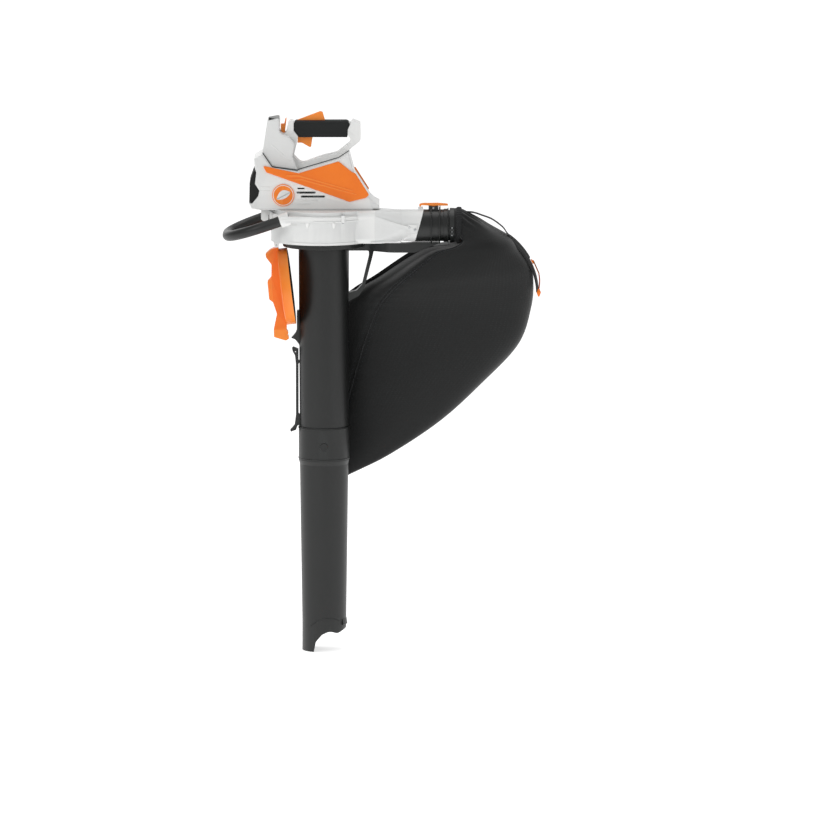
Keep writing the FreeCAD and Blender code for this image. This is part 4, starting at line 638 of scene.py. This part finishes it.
@dataclass
class MotorCasing:
    """Raised leaf on the flank badges and low ribs beside and below them."""

    badge: tuple[float, float] = (-91.0, 983.0)
    flank: float = 62.0

    def build(self) -> None:
        """Make the casing's small relief."""
        for side, name in ((-1, "left"), (1, "right")):
            self.leaf(side, name)
            self.ridges(side, name)

    def leaf(self, side: int, name: str) -> None:
        """A plain leaf in relief: width w sin(pi t) along a bent rib, with a raised rim round the disc.

        Args:
            side: -1 for the near flank and 1 for the far one.
            name: the flank's name.
        """
        t = np.linspace(0, 1, 24)
        rib = np.stack([-15 + 31 * t, -9 + 16 * t + 3 * np.sin(np.pi * t)], 1)
        spread = 8.6 * np.sin(np.pi * np.clip(t, 0.001, 0.999)) ** 0.8
        outline = np.vstack([rib + np.stack([-spread * 0.45, spread], 1), (rib - np.stack([-spread * 0.45, spread], 1))[::-1]])
        face = side * (self.flank + 2.4)
        skin = Skin()
        skin.grid(slab_rows(outline + self.badge, [(0, face), (0, face + side * 1.1), (-0.9, face + side * 1.5)]))
        ring = turned_rows(points_of((21.6, 0), (23.4, 0), (23.0, 0.9), (22.0, 0.9)),
                           (self.badge[0], face, self.badge[1]), (0, side, 0), count=96)
        skin.grid(ring, rows_closed=True, capped=False)
        skin.make(f"badge_leaf_{name}", "light_grey_abs", Body.CASING)

    def ridges(self, side: int, name: str) -> None:
        """Low ribs beside and below the badge, along the slope of the casing.

        Args:
            side: -1 for the near flank and 1 for the far one.
            name: the flank's name.
        """
        skin = Skin()
        bars = ((-65, -14, 971.0), (-100, -30, 962.5), (-143, -122, 1001.0), (-143, -122, 992.5))
        for start, stop, level in bars:
            outline = rounded(points_of((start, level - 1.1), (stop, level - 1.1), (stop + 1.5, level + 1.1),
                                        (start, level + 1.1)), 0.8, 4)
            skin.grid(slab_rows(outline, [(0, side * (self.flank - 0.4)), (0, side * (self.flank + 0.5)),
                                          (-0.5, side * (self.flank + 0.9))]))
        skin.make(f"casing_ribs_{name}", "light_grey_abs", Body.CASING)


@dataclass
class SuctionTubes:
    """Blank label, joint beads and the raised line above the nozzle's scoop."""

    label_angles: tuple[float, float] = (-47.0, -13.0)
    label_levels: tuple[float, float] = (496.0, 608.0)
    tube_foot: float = 390.0
    foot_radius: float = 52.5
    top_radius: float = 57.5
    tube_length: float = 471.0

    def radius(self, level: np.ndarray) -> np.ndarray:
        """Outside radius of the upper tube: a straight taper from its foot to its flange."""
        return self.foot_radius + (self.top_radius - self.foot_radius) * (level - self.tube_foot) / self.tube_length

    def build(self) -> None:
        """Make the tubes' small detail."""
        self.label()
        self.beads()
        self.scoop_line()

    def patch(self, skin: Skin, angles: tuple[float, float], levels: tuple[float, float], lift: float) -> None:
        """Add a thin patch wrapped on the tube: the place (a, z) lies at the tube's radius there plus a lift.

        Args:
            skin: where the patch is added.
            angles: its first and last angle about the tube.
            levels: its lowest and highest place.
            lift: height of its face above the tube.
        """
        angle, level = np.meshgrid(np.radians(np.linspace(*angles, 24)), np.linspace(*levels, 12), indexing="ij")
        layers = []
        for extra, trim in ((-0.3, 0.0), (lift - 0.1, 0.0), (lift, 0.0)):
            out = self.radius(level) + extra
            layers.append(np.stack([out * np.cos(angle), out * np.sin(angle), level + trim], -1))
        edge = [np.concatenate([layer[:, 0], layer[-1, 1:], layer[-2::-1, -1], layer[0, -2:0:-1]]) for layer in layers]
        skin.grid(np.stack(edge[:2]), capped=False)
        skin.grid(layers[1][::-1], columns_closed=False, capped=False)

    def label(self) -> None:
        """A light blank label with grey bars where a real one has its text."""
        plate, bars = Skin(), Skin()
        self.patch(plate, self.label_angles, self.label_levels, 0.35)
        low = self.label_levels[0]
        for start, stop, first, last in ((6, 14, -44, -20), (20, 23, -44, -16), (27, 30, -44, -24), (34, 37, -44, -18),
                                         (46, 62, -44, -28), (70, 73, -44, -17), (77, 80, -44, -26),
                                         (88, 104, -40, -20)):
            self.patch(bars, (first, last), (low + start, low + stop), 0.5)
        plate.make("tube_label", "light_grey_abs", Body.CASING)
        bars.make("tube_label_bars", "seal_foam", Body.CASING)

    def beads(self) -> None:
        """Round beads at both ends of the bell on the lower tube."""
        skin = Skin()
        for radius, level in ((57.9, 446.5), (57.9, 377.5)):
            skin.grid(turned_rows(circle(0.9) + np.array([radius, 0]), (0, 0, level), (0, 0, 1), count=128),
                      rows_closed=True, capped=False)
        skin.make("bell_beads", "black_pp", Body.NOZZLE)

    def scoop_line(self) -> None:
        """Raised line above the scoop: height rises as the square of the distance from the arch's middle."""
        angle = np.radians(np.linspace(-128, -38, 60))
        across = 50.1 * np.cos(angle)
        path = np.stack([across, 50.1 * np.sin(angle), 14 - 0.012 * (across - 9) ** 2], 1)
        skin = Skin().grid(swept_rows(path, circle(0.9, 8)))
        skin.make("scoop_line", "black_pp", Body.NOZZLE)


@dataclass
class IntakeCoverTrim:
    """Foam ring inside the hinged cover, and raised rings and ribs on its back."""

    hinge: tuple[float, float] = (-107.0, 866.0)
    lean: float = 6.9

    def place(self, rows: np.ndarray) -> np.ndarray:
        """Turn rows by the cover's lean about its hinge and move them there."""
        turn = np.radians(self.lean)
        x, y, z = rows[..., 0], rows[..., 1], rows[..., 2]
        return np.stack([self.hinge[0] + x * np.cos(turn) - z * np.sin(turn), y,
                         self.hinge[1] + x * np.sin(turn) + z * np.cos(turn)], -1)

    def build(self) -> None:
        """Make the foam ring and the raised rings on the cover's back."""
        ring = turned_rows(points_of((76, 18.5), (83, 18.5), (83, 21.0), (81.5, 22.4), (77.5, 22.4), (76, 21.0)),
                           (0, 0, -99.5), (1, 0, 0), count=96)
        Skin().grid(self.place(ring), rows_closed=True, capped=False).make("cover_seal", "seal_foam", Body.COVER)
        skin = Skin()
        for radius in (79.0, 68.0):
            rim = turned_rows(circle(1.3, 10) + np.array([radius, 0.2]), (0, 0, -99.5), (1, 0, 0), count=128)
            skin.grid(self.place(rim), rows_closed=True, capped=False)
        for angle in np.arange(15, 360, 30):
            turn = np.radians(angle)
            ends = points_of((0.2, 24 * np.cos(turn), 24 * np.sin(turn) - 99.5),
                             (0.2, 67 * np.cos(turn), 67 * np.sin(turn) - 99.5))
            skin.grid(self.place(swept_rows(np.linspace(*ends, 6), circle(1.3, 8), (1, 0, 0))))
        skin.make("cover_ribs", "orange_pa", Body.COVER)


@dataclass
class Connector:
    """Moulded bands round the black connector sleeve."""

    axis: tuple[float, float] = (-45.0, 913.0)

    def build(self) -> None:
        """Make the bands round the sleeve."""
        skin = Skin()
        for along, radius in ((243.0, 40.6), (262.0, 40.6), (281.0, 38.6)):
            profile = circle(1.3, 10) + np.array([radius, 0])
            skin.grid(turned_rows(profile, (along, *self.axis), (1, 0, 0), count=96), rows_closed=True, capped=False)
        skin.make("sleeve_bands", "black_pp", Body.BAG)


@dataclass
class CatcherBag:
    """Sewn fabric bag that hangs from its neck and leans against the suction tube."""

    neck: tuple[float, float, float] = (302.3, -45.0, 913.0)
    rows: int = 150
    columns: int = 168
    cloth: float = 1.2
    # Each station: the lower left edge, the upper right edge (x, y, z) and half the width across them.
    stations: tuple[tuple[float, ...], ...] = field(default=(
        (286.0, -45, 874.6, 286.0, -45, 951.4, 38.4),
        (294.5, -45, 874.4, 294.5, -45, 951.6, 38.6),
        (305.0, -44, 873.0, 309.0, -44, 951.5, 40.0),
        (302.5, -40, 870.5, 330.0, -41, 939.0, 46.0),
        (297.0, -32, 868.0, 368.0, -37, 917.0, 62.0),
        (262.0, -15, 863.0, 423.0, -31, 884.0, 84.0),
        (202.0, 7, 851.0, 448.0, -23, 852.0, 97.0),
        (109.0, 47, 786.0, 469.0, -15, 821.0, 106.0),
        (63.0, 75, 755.0, 478.0, 0, 781.0, 108.0),
        (23.0, 100, 715.0, 474.0, 10, 717.0, 98.0),
        (-9.0, 115, 641.0, 446.0, 20, 632.0, 85.0),
        (-21.0, 112, 551.0, 363.0, 35, 540.0, 68.0),
        (-26.0, 105, 464.0, 270.0, 50, 453.0, 48.0),
        (-26.0, 98, 381.0, 157.0, 65, 376.0, 30.0),
        (-14.0, 92, 322.0, 54.0, 78, 324.0, 13.0),
    ))

    def build(self) -> None:
        """Make the bag's shell, seams, neck hem, zip band and carry strap."""
        self.shell()
        self.neck_hem()
        self.zip_band()
        self.strap()

    def edges(self, s: np.ndarray) -> tuple[np.ndarray, np.ndarray, np.ndarray]:
        """Left edge, right edge and half width at places from 0 at the neck to 1 at the bottom."""
        table = smooth_line(np.array(self.stations), 800)
        lengths = np.linspace(0, 1, 800)
        made = np.stack([np.interp(s, lengths, table[:, column]) for column in range(7)], -1)
        return made[..., 0:3], made[..., 3:6], made[..., 6]

    def skin_at(self, s: np.ndarray, angle: np.ndarray, lift: float = 0.0) -> np.ndarray:
        """Place on the cloth: an oval between the two edges, slightly squared, moved out by its folds.

        The fold height is a sum of gathers at the neck, four long drapes that wander with s, two
        gusset seams that pull in, and pucker along those seams.

        Args:
            s: place along the bag, 0 to 1.
            angle: place round it, 0 at the upper right edge.
            lift: extra distance outwards.

        Returns:
            Points in millimetres.
        """
        left, right, half = self.edges(s)
        middle, span = (left + right) / 2, (right - left) / 2
        reach = np.linalg.norm(span, axis=-1, keepdims=True)
        along = span / reach
        side = np.array([0.0, 1.0, 0.0]) - along * along[..., 1:2]
        side /= np.linalg.norm(side, axis=-1, keepdims=True)
        c, d = np.cos(angle)[..., None], np.sin(angle)[..., None]
        square = 1 - 0.10 * np.clip(s * 6, 0, 1)[..., None]
        flat = middle + along * reach * np.sign(c) * np.abs(c) ** square
        flat = flat + side * half[..., None] * np.sign(d) * np.abs(d) ** square
        out = along * c * half[..., None] + side * d * reach
        out /= np.linalg.norm(out, axis=-1, keepdims=True)
        return flat + out * (self.folds(s, angle) + lift)[..., None]

    def folds(self, s: np.ndarray, angle: np.ndarray) -> np.ndarray:
        """Height of the folds: see skin_at."""
        free = np.clip((s - 0.16) / 0.1, 0, 1)
        gathers = 1.6 * np.exp(-((s - 0.21) / 0.05) ** 2) * np.cos(17 * angle + 2.1 * np.sin(2 * angle))
        drapes = np.zeros_like(s)
        for turns, rise, phase, high in ((2, 7.0, 0.4, 2.6), (3, -4.0, 1.9, 2.1), (5, 6.0, 4.2, 1.2), (7, -9.0, 0.9, 0.6)):
            drapes += high * np.sin(turns * angle + rise * s + phase + 0.7 * np.sin(5 * s + phase))
        seams = np.zeros_like(s)
        for seat in self.seam_angles(s):
            off = np.arctan2(np.sin(angle - seat), np.cos(angle - seat))
            seams += -3.0 * np.exp(-(off / 0.055) ** 2)
            seams += 0.7 * np.exp(-(off / 0.16) ** 2) * np.cos(210 * s + 3 * np.sin(31 * s))
        beyond = np.clip((self.seam_angles(s)[0] - angle_of(angle)) / 0.42, 0, 1)
        gusset = -17.0 * beyond ** 2 * (3 - 2 * beyond) * np.clip((0.86 - s) / 0.3, 0, 1)
        ripples = 0.8 * np.sin(46 * s + 3 * np.cos(angle * 2)) * np.exp(-((s - 0.3) / 0.12) ** 2)
        close = np.clip((1 - s) / 0.08, 0, 1)
        return free * (drapes + seams + ripples + gusset) * close + gathers * np.clip((s - 0.1) / 0.05, 0, 1) - 1.6 * free

    def seam_angles(self, s: np.ndarray) -> tuple[np.ndarray, np.ndarray, np.ndarray]:
        """Angles of the three sewn seams: two along the gusset and one on the far side."""
        return -2.08 + 0.05 * s, 2.35 - 0.2 * s, 0.62 + 0.0 * s

    def shell(self) -> None:
        """The cloth shell, closed at the bottom, with a UV map in metres of cloth."""
        s, angle = np.meshgrid(np.linspace(0, 1, self.rows), np.linspace(0, 2 * np.pi, self.columns, endpoint=False),
                               indexing="ij")
        outer = self.skin_at(s, angle)
        tip = outer[-1].mean(0)
        close = np.array([0.86, 0.6, 0.3, 0.05])[:, None, None]
        dome = tip + (outer[-1] - tip) * close
        dome[..., 2] -= (3.2 * np.sqrt(1 - close[..., 0] ** 2))
        surface = np.vstack([outer, dome])
        inner = surface.copy()
        toward = np.gradient(surface, axis=0)
        around = np.roll(surface, -1, 1) - np.roll(surface, 1, 1)
        normal = np.cross(around, toward)
        normal /= np.maximum(np.linalg.norm(normal, axis=-1, keepdims=True), 1e-9)
        outwards = np.sign(np.sum(normal * (surface - surface.mean(1, keepdims=True))))
        inner = surface - normal * outwards * self.cloth
        sheet = np.vstack([surface, inner[::-1]])
        width = np.linalg.norm(np.roll(surface, -1, 1) - surface, axis=-1).mean(0).cumsum()
        length = np.linalg.norm(np.diff(surface, axis=0, prepend=surface[:1]), axis=-1).mean(1).cumsum()
        grid = np.stack(np.meshgrid(length, width, indexing="ij"), -1)
        uv = np.vstack([grid, grid[::-1]]).reshape(-1, 2) * MM
        skin = Skin().grid(sheet, rows_closed=True, capped=False)
        bag = skin.make("catcher_bag", "black_fabric", Body.BAG, smooth=60, uv=uv)
        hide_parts("bag")
        triangles = surface.reshape(-1, 3)
        log.info("bag shell of %d points", len(triangles))
        area = float(np.sum(np.linalg.norm(np.cross(np.diff(surface, axis=0)[:, :-1], np.diff(surface, axis=1)[:-1]),
                                           axis=-1))) * MM * MM
        log.info("bag cloth area %.4f m2", area)
        self.seams()

    def along_seam(self, which: int, start: float, stop: float, count: int, lift: float) -> tuple[np.ndarray, np.ndarray]:
        """Points and outward directions along one seam.

        Args:
            which: number of the seam.
            start: first place along the bag.
            stop: last place along the bag.
            count: how many points.
            lift: distance above the cloth.

        Returns:
            The points, and the direction away from the cloth at each.
        """
        s = np.linspace(start, stop, count)
        seat = self.seam_angles(s)[which]
        place = self.skin_at(s, seat, lift)
        above = self.skin_at(s, seat, lift + 1)
        return place, above - place

    def seams(self) -> None:
        """Piping in each seam: a round cord that lies half sunk in the pulled-in cloth."""
        for which, name in enumerate(("near", "far", "top")):
            path, out = self.along_seam(which, 0.24, 0.985, 260, 0.9)
            skin = Skin().grid(swept_rows(path, circle(1.5, 10), out))
            length = np.repeat(np.linspace(0, 0.7, 260), 10)
            uv = np.stack([length, np.tile(np.linspace(0, 0.009, 10), 260)], 1)
            skin.make(f"bag_piping_{name}", "webbing", Body.BAG, uv=uv)
        stitches = Skin()
        for which in (0, 1, 2):
            for shift in (-0.05, 0.05):
                s = np.linspace(0.26, 0.97, 95)
                seat = self.seam_angles(s)[which] + shift
                path = self.skin_at(s, seat, 0.25)
                ahead = self.skin_at(s + 0.002, seat, 0.25) - path
                ahead /= np.linalg.norm(ahead, axis=1, keepdims=True)
                out = self.skin_at(s, seat, 1.25) - path
                side = np.cross(out, ahead)
                side /= np.linalg.norm(side, axis=1, keepdims=True)
                frames = np.stack([ahead, side, np.cross(ahead, side)], 1)
                stitches.copies(box_rows(3.2, 0.8, 0.7, 0.6), path, frames)
        stitches.make("bag_stitching", "seal_foam", Body.BAG)

    def neck_hem(self) -> None:
        """Elastic hem where the bag is clamped: a band with fine gathers round the collar."""
        angle = np.linspace(0, 2 * np.pi, 240, endpoint=False)
        profile = points_of((300.0, 38.6), (300.8, 40.6), (304, 41.6), (309, 41.3), (311.5, 40.2), (310.8, 38.8),
                            (305, 38.2))
        ripple = 0.45 * np.cos(40 * angle)[:, None]
        out = profile[None, :, 1] + ripple
        rows = np.stack([np.broadcast_to(profile[None, :, 0], out.shape),
                         self.neck[1] + out * np.cos(angle)[:, None],
                         self.neck[2] + out * np.sin(angle)[:, None]], -1)
        uv = np.stack([np.repeat(angle * 0.041, 7), np.tile(np.linspace(0, 0.02, 7), 240)], 1)
        Skin().grid(rows, rows_closed=True, capped=False).make("bag_neck_hem", "webbing", Body.BAG, uv=uv)

    def zip_band(self) -> None:
        """Zip tape and its two rows of teeth on an arc down the bag's right edge."""
        zip_line = ZipLine()
        angle = np.linspace(56, 2, 120)
        width = points_of((-15, -5.5), (-10, -1.8), (-4, -0.4), (4, -0.4), (10, -1.8), (15, -5.5), (10, -4.4),
                          (0, -2.6), (-10, -4.4))
        path, out = zip_line.at(angle, 0.0)
        rows = swept_rows(path, width, out)
        uv = np.stack([np.repeat(np.linspace(0, 0.26, 120), 9), np.tile(np.linspace(0, 0.05, 9), 120)], 1)
        Skin().grid(rows).make("zip_tape", "webbing", Body.BAG, uv=uv)
        teeth = Skin()
        spots = np.linspace(55, 3, 50)
        for row, shift in ((-1, 0.0), (1, 0.5)):
            path, out = zip_line.at(spots + shift, 0.2)
            ahead = np.gradient(path, axis=0)
            ahead /= np.linalg.norm(ahead, axis=1, keepdims=True)
            side = np.cross(out, ahead)
            frames = np.stack([ahead, side, out], 1)
            teeth.copies(box_rows(1.5, 3.4, 1.3, 0.7), path + side * row * 1.5, frames)
        teeth.make("zip_teeth", "black_pp", Body.BAG)
        flap = points_of((5.0, -0.6), (9, 1.4), (15, 0.6), (21, -5.0), (22.5, -10.0), (20, -8.6), (14, -3.2), (8, -1.4))
        path, out = zip_line.at(np.linspace(54, 29, 100), 0.6)
        uv = np.stack([np.repeat(np.linspace(0, 0.24, 100), 8), np.tile(np.linspace(0, 0.05, 8), 100)], 1)
        Skin().grid(swept_rows(path, flap, out)).make("zip_flap", "black_fabric", Body.BAG, uv=uv)

    def strap(self) -> None:
        """Carry strap: a flat webbing arch."""
        path = smooth_line(points_of((318, -37, 940.5), (326, -37, 942.5), (340, -37, 941), (357, -37, 935.5),
                                     (381, -37, 926), (404, -37, 909), (414, -37, 895.5), (421, -37, 887.5)), 80)
        profile = points_of((-10, -0.8), (-9.4, -1.0), (9.4, -1.0), (10, -0.8), (10, 0.8), (9.4, 1.0), (-9.4, 1.0),
                            (-10, 0.8))
        uv = np.stack([np.repeat(np.linspace(0, 0.13, 80), 8),
                       np.tile(np.array([0, 0, 0.02, 0.02, 0.02, 0.02, 0, 0]), 80)], 1)
        strap = Skin().grid(swept_rows(path, profile)).make("carry_strap_webbing", "webbing", Body.BAG, uv=uv)
        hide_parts("carry_strap")


@dataclass
class ZipLine:
    """The arc that the zip's teeth follow, in a plane that leans along Y."""

    centre: tuple[float, float, float] = (323.3, -3.0, 754.0)
    radius: float = 163.0
    lean: float = 0.2

    def at(self, angle: np.ndarray, lift: float) -> tuple[np.ndarray, np.ndarray]:
        """Points centre + (radius + lift) (cos a, -lean sin a, sin a), and the unit direction outwards."""
        turn = np.radians(angle)
        out = np.stack([np.cos(turn), -self.lean * np.sin(turn), np.sin(turn)], 1)
        place = np.array(self.centre) + out * (self.radius + lift)
        return place, out / np.linalg.norm(out, axis=1, keepdims=True)


@dataclass
class ZipPull:
    """Zip slider, the tab that hangs from it, and the cord with its end piece."""

    start: float = 26.0
    tab_foot: tuple[float, float, float] = (486.8, -17.8, 800.9)
    cord_radius: float = 1.5

    def build(self) -> None:
        """Make the slider, tab, cord and end piece."""
        self.slider()
        self.tab()
        self.cord()

    def slider(self) -> None:
        """Slider: a lens-shaped plate with a bail over the top."""
        place, out = ZipLine().at(np.array([self.start]), 0.0)
        tip, _ = ZipLine().at(np.array([self.start - 1]), 0.0)
        ahead = (tip - place)[0]
        ahead /= np.linalg.norm(ahead)
        side = np.cross(out[0], ahead)
        axes = np.stack([ahead, side, out[0]])
        wide = rounded(points_of((-6, -4.6), (5, -3.4), (5, 3.4), (-6, 4.6)), 1.6, 5)
        skin = Skin()
        levels = ((-0.7, 1.7), (0, 2.1), (0, 3.5), (-0.9, 4.1))
        plate = np.stack([np.insert(grown(wide, growth), 2, depth, axis=1) for growth, depth in levels])
        skin.grid(plate @ axes + place[0])
        bail = np.stack([np.linspace(-3.6, 3.6, 24), np.zeros(24), 3.8 + 2.6 * np.sin(np.linspace(0, np.pi, 24))], 1)
        skin.grid(swept_rows(bail, points_of((-1, -0.5), (1, -0.5), (1, 0.5), (-1, 0.5))) @ axes + place[0])
        slider = skin.make("zip_slider_body", "orange_pa", Body.ZIP, bevel=0.2)
        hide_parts("zip_slider")

    def tab(self) -> None:
        """Flat tab with a rounded outline and an orange rim along its outer edge."""
        eye = np.array([475.4, -17.8, 827.0])
        foot = np.array(self.tab_foot)
        along = (foot - eye) / np.linalg.norm(foot - eye)
        side = np.array([0.0, 1.0, 0.0])
        axes = np.stack([side, along, np.cross(side, along)])
        outline = rounded(points_of((-2.6, -2.0), (2.6, -2.0), (4.2, 6), (4.6, 24), (2.4, 30.2), (-2.4, 30.2), (-4.6, 24),
                                    (-4.2, 6)), 1.2, 4)
        levels = ((-0.6, -1.3), (0, -0.8), (0, 0.8), (-0.6, 1.3))
        body = np.stack([np.insert(grown(outline, growth), 2, depth, axis=1) for growth, depth in levels])
        tab = Skin().grid(body @ axes + eye).make("zip_tab_plate", "black_pp", Body.ZIP_PULL)
        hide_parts("zip_tab")
        rim = np.insert(grown(outline, 0.25), 2, 0.9, axis=1) @ axes + eye
        loop = np.vstack([rim, rim[:1]])
        Skin().grid(swept_rows(loop, circle(0.55, 8), tuple(axes[2]))).make("zip_tab_rim", "orange_pa", Body.ZIP_PULL)

    def cord(self) -> None:
        """Cord from the tab down to its end piece, on one smooth NURBS line, and the end piece."""
        steps = points_of((0, 0, -0.2), (1.5, 0, -9), (2.2, 0, -19), (1.2, 0, -29), (0, 0, -38))
        route = np.array(self.tab_foot) + steps
        curve = bpy.data.curves.new("zip_cord_line", "CURVE")
        curve.dimensions = "3D"
        spline = curve.splines.new("NURBS")
        spline.points.add(len(route) - 1)
        for point, place in zip(spline.points, route):
            point.co = (*(place * MM), 1.0)
        spline.order_u = 3
        spline.use_endpoint_u = True
        spline.resolution_u = 10
        curve.bevel_depth = self.cord_radius * MM
        curve.bevel_resolution = 3
        curve.use_fill_caps = True
        line = bpy.data.objects.new("zip_cord_line", curve)
        bpy.context.scene.collection.objects.link(line)
        curve.materials.append(finish_of("orange_cord"))
        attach(line, Body.ZIP_PULL.value)
        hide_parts("zip_cord")
        end = route[-1]
        drop = points_of((1.9, 1.5), (2.6, 0.6), (3.0, -2), (4.9, -5.2), (5.0, -6.5), (3.6, -10.5), (2.0, -15), (0.9, -16.2))
        profile = np.vstack([points_of((0.01, 1.6)), drop, points_of((0.01, -16.4))])
        rows = turned_rows(profile, end, (0, 0, 1), count=40)
        rows[..., 1] = end[1] + (rows[..., 1] - end[1]) * 0.72
        piece = Skin().grid(rows, columns_closed=False, rows_closed=True, capped=False)
        piece = piece.make("zip_end_drop", "orange_pa", Body.ZIP_PULL, smooth=50)
        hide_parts("zip_end")
        log.info("zip cord hangs from the tab")


@dataclass
class HandleTrim:
    """Fine ribs of the levers and the small marks of the handle."""

    def build(self) -> None:
        """Make the ribs on the battery lever and the raised mark on the tower."""
        skin = Skin()
        for across in (-95.6, -93.1, -90.6):
            path = points_of((across, -9.4, 1126), (across, -9.4, 1136))
            skin.grid(swept_rows(np.linspace(*path, 4), circle(0.7, 8)))
        skin.make("battery_lever_ribs", "orange_pa", Body.BATTERY_LATCH)
        mark = Skin()
        for side in (-1, 1):
            outline = rounded(points_of((-118.5, 1094.5), (-72, 1054.5), (-70.8, 1056.2), (-117.2, 1096.4)), 0.5, 3)
            face = side * 43.0
            mark.grid(slab_rows(outline, [(0, face - side * 0.5), (0, face + side * 0.4), (-0.5, face + side * 0.8)]))
        mark.make("tower_marks", "light_grey_abs", Body.CASING)


# ------------------------------------------------------------------ studio


@dataclass
class Studio:
    """Pale floor and backdrop, soft lights, and the camera."""

    target: tuple[float, float, float] = (189.5, 0.0, 491.0)
    distance: float = 22000.0
    elevation: float = 7.75
    lens: float = 428.0
    floor_level: float = -64.5

    def camera(self) -> None:
        """Camera on the -Y side, a little above the target, looking at it."""
        lens = bpy.data.cameras.new("camera")
        lens.lens = self.lens
        lens.clip_end = 100
        camera = bpy.data.objects.new("camera", lens)
        bpy.context.scene.collection.objects.link(camera)
        rise = np.radians(self.elevation)
        away = Vector((0, -np.cos(rise), np.sin(rise))) * self.distance * MM
        camera.location = Vector(self.target) * MM + away
        camera.rotation_euler = (-away).to_track_quat("-Z", "Y").to_euler()
        bpy.context.scene.camera = camera

    def floor(self) -> None:
        """Floor that curves up to a backdrop: flat near the viewer, then rising as a square."""
        u, v = np.meshgrid(np.linspace(-9000, 9000, 40), np.linspace(-7000, 12000, 80), indexing="ij")
        rise = self.floor_level + np.clip((v - 5000) / 3000, 0, None) ** 2 * 1000
        rows = np.stack([u, v, rise], -1)
        mesh = bpy.data.meshes.new("studio_floor")
        index = np.arange(rows.shape[0] * rows.shape[1]).reshape(rows.shape[:2])
        quads = np.stack([index[:-1, :-1], index[1:, :-1], index[1:, 1:], index[:-1, 1:]], -1).reshape(-1, 4)
        mesh.from_pydata(rows.reshape(-1, 3) * MM, [], quads.tolist())
        mesh.shade_smooth()
        floor = bpy.data.objects.new("studio_floor", mesh)
        floor.data.materials.append(StudioFloor().make())
        bpy.context.scene.collection.objects.link(floor)

    def light(self, name: str, place: Sequence[float], size: float, watts: float) -> None:
        """A soft square light that faces the object.

        Args:
            name: its name.
            place: where it stands, in metres.
            size: its side, in metres.
            watts: its power.
        """
        lamp = bpy.data.lights.new(name, "AREA")
        lamp.shape, lamp.size, lamp.energy = "SQUARE", size, watts
        thing = bpy.data.objects.new(name, lamp)
        thing.location = place
        thing.rotation_euler = (Vector((0.15, 0, 0.6)) - Vector(place)).to_track_quat("-Z", "Y").to_euler()
        bpy.context.scene.collection.objects.link(thing)

    def build(self) -> None:
        """Set up camera, floor, lights and the even light of the room."""
        self.camera()
        self.floor()
        self.light("key_softbox", (-2.6, -3.4, 3.2), 2.2, 48)
        self.light("fill_softbox", (3.6, -2.6, 1.8), 2.4, 10)
        self.light("top_softbox", (0.2, 0.6, 4.2), 3.0, 44)
        self.light("back_softbox", (-1.6, 3.6, 2.4), 2.4, 14)
        world = bpy.data.worlds.new("studio_air")
        bpy.context.scene.world = world
        world.use_nodes = True
        world.node_tree.nodes["Background"].inputs["Color"].default_value = (1, 1, 1, 1)
        world.node_tree.nodes["Background"].inputs["Strength"].default_value = 0.42
        bpy.context.scene.view_settings.view_transform = "Standard"


def dress_frame() -> None:
    """Give every CAD node the material of its own slot."""
    slots = {part["node"]: part["material_slot"] for part in frame["record"]["subparts"]}
    for node, thing in frame["nodes"].items():
        thing.data.materials.clear()
        thing.data.materials.append(finish_of(slots[node]))
        thing.data.shade_smooth()
        thing.data.set_sharp_from_angle(angle=float(np.radians(SMOOTH_ANGLE)))
        log.info("%s in %s", node, slots[node])


def main() -> None:
    """Build the studio and every sub-assembly."""
    logging.basicConfig(level=logging.INFO, format="%(message)s")
    Studio().build()
    ZipPull().build()
    dress_frame()
    for part in (FanCasing(), MotorCasing(), SuctionTubes(), IntakeCoverTrim(), Connector(), CatcherBag(), HandleTrim()):
        part.build()


if __name__ == "__main__":
    main()
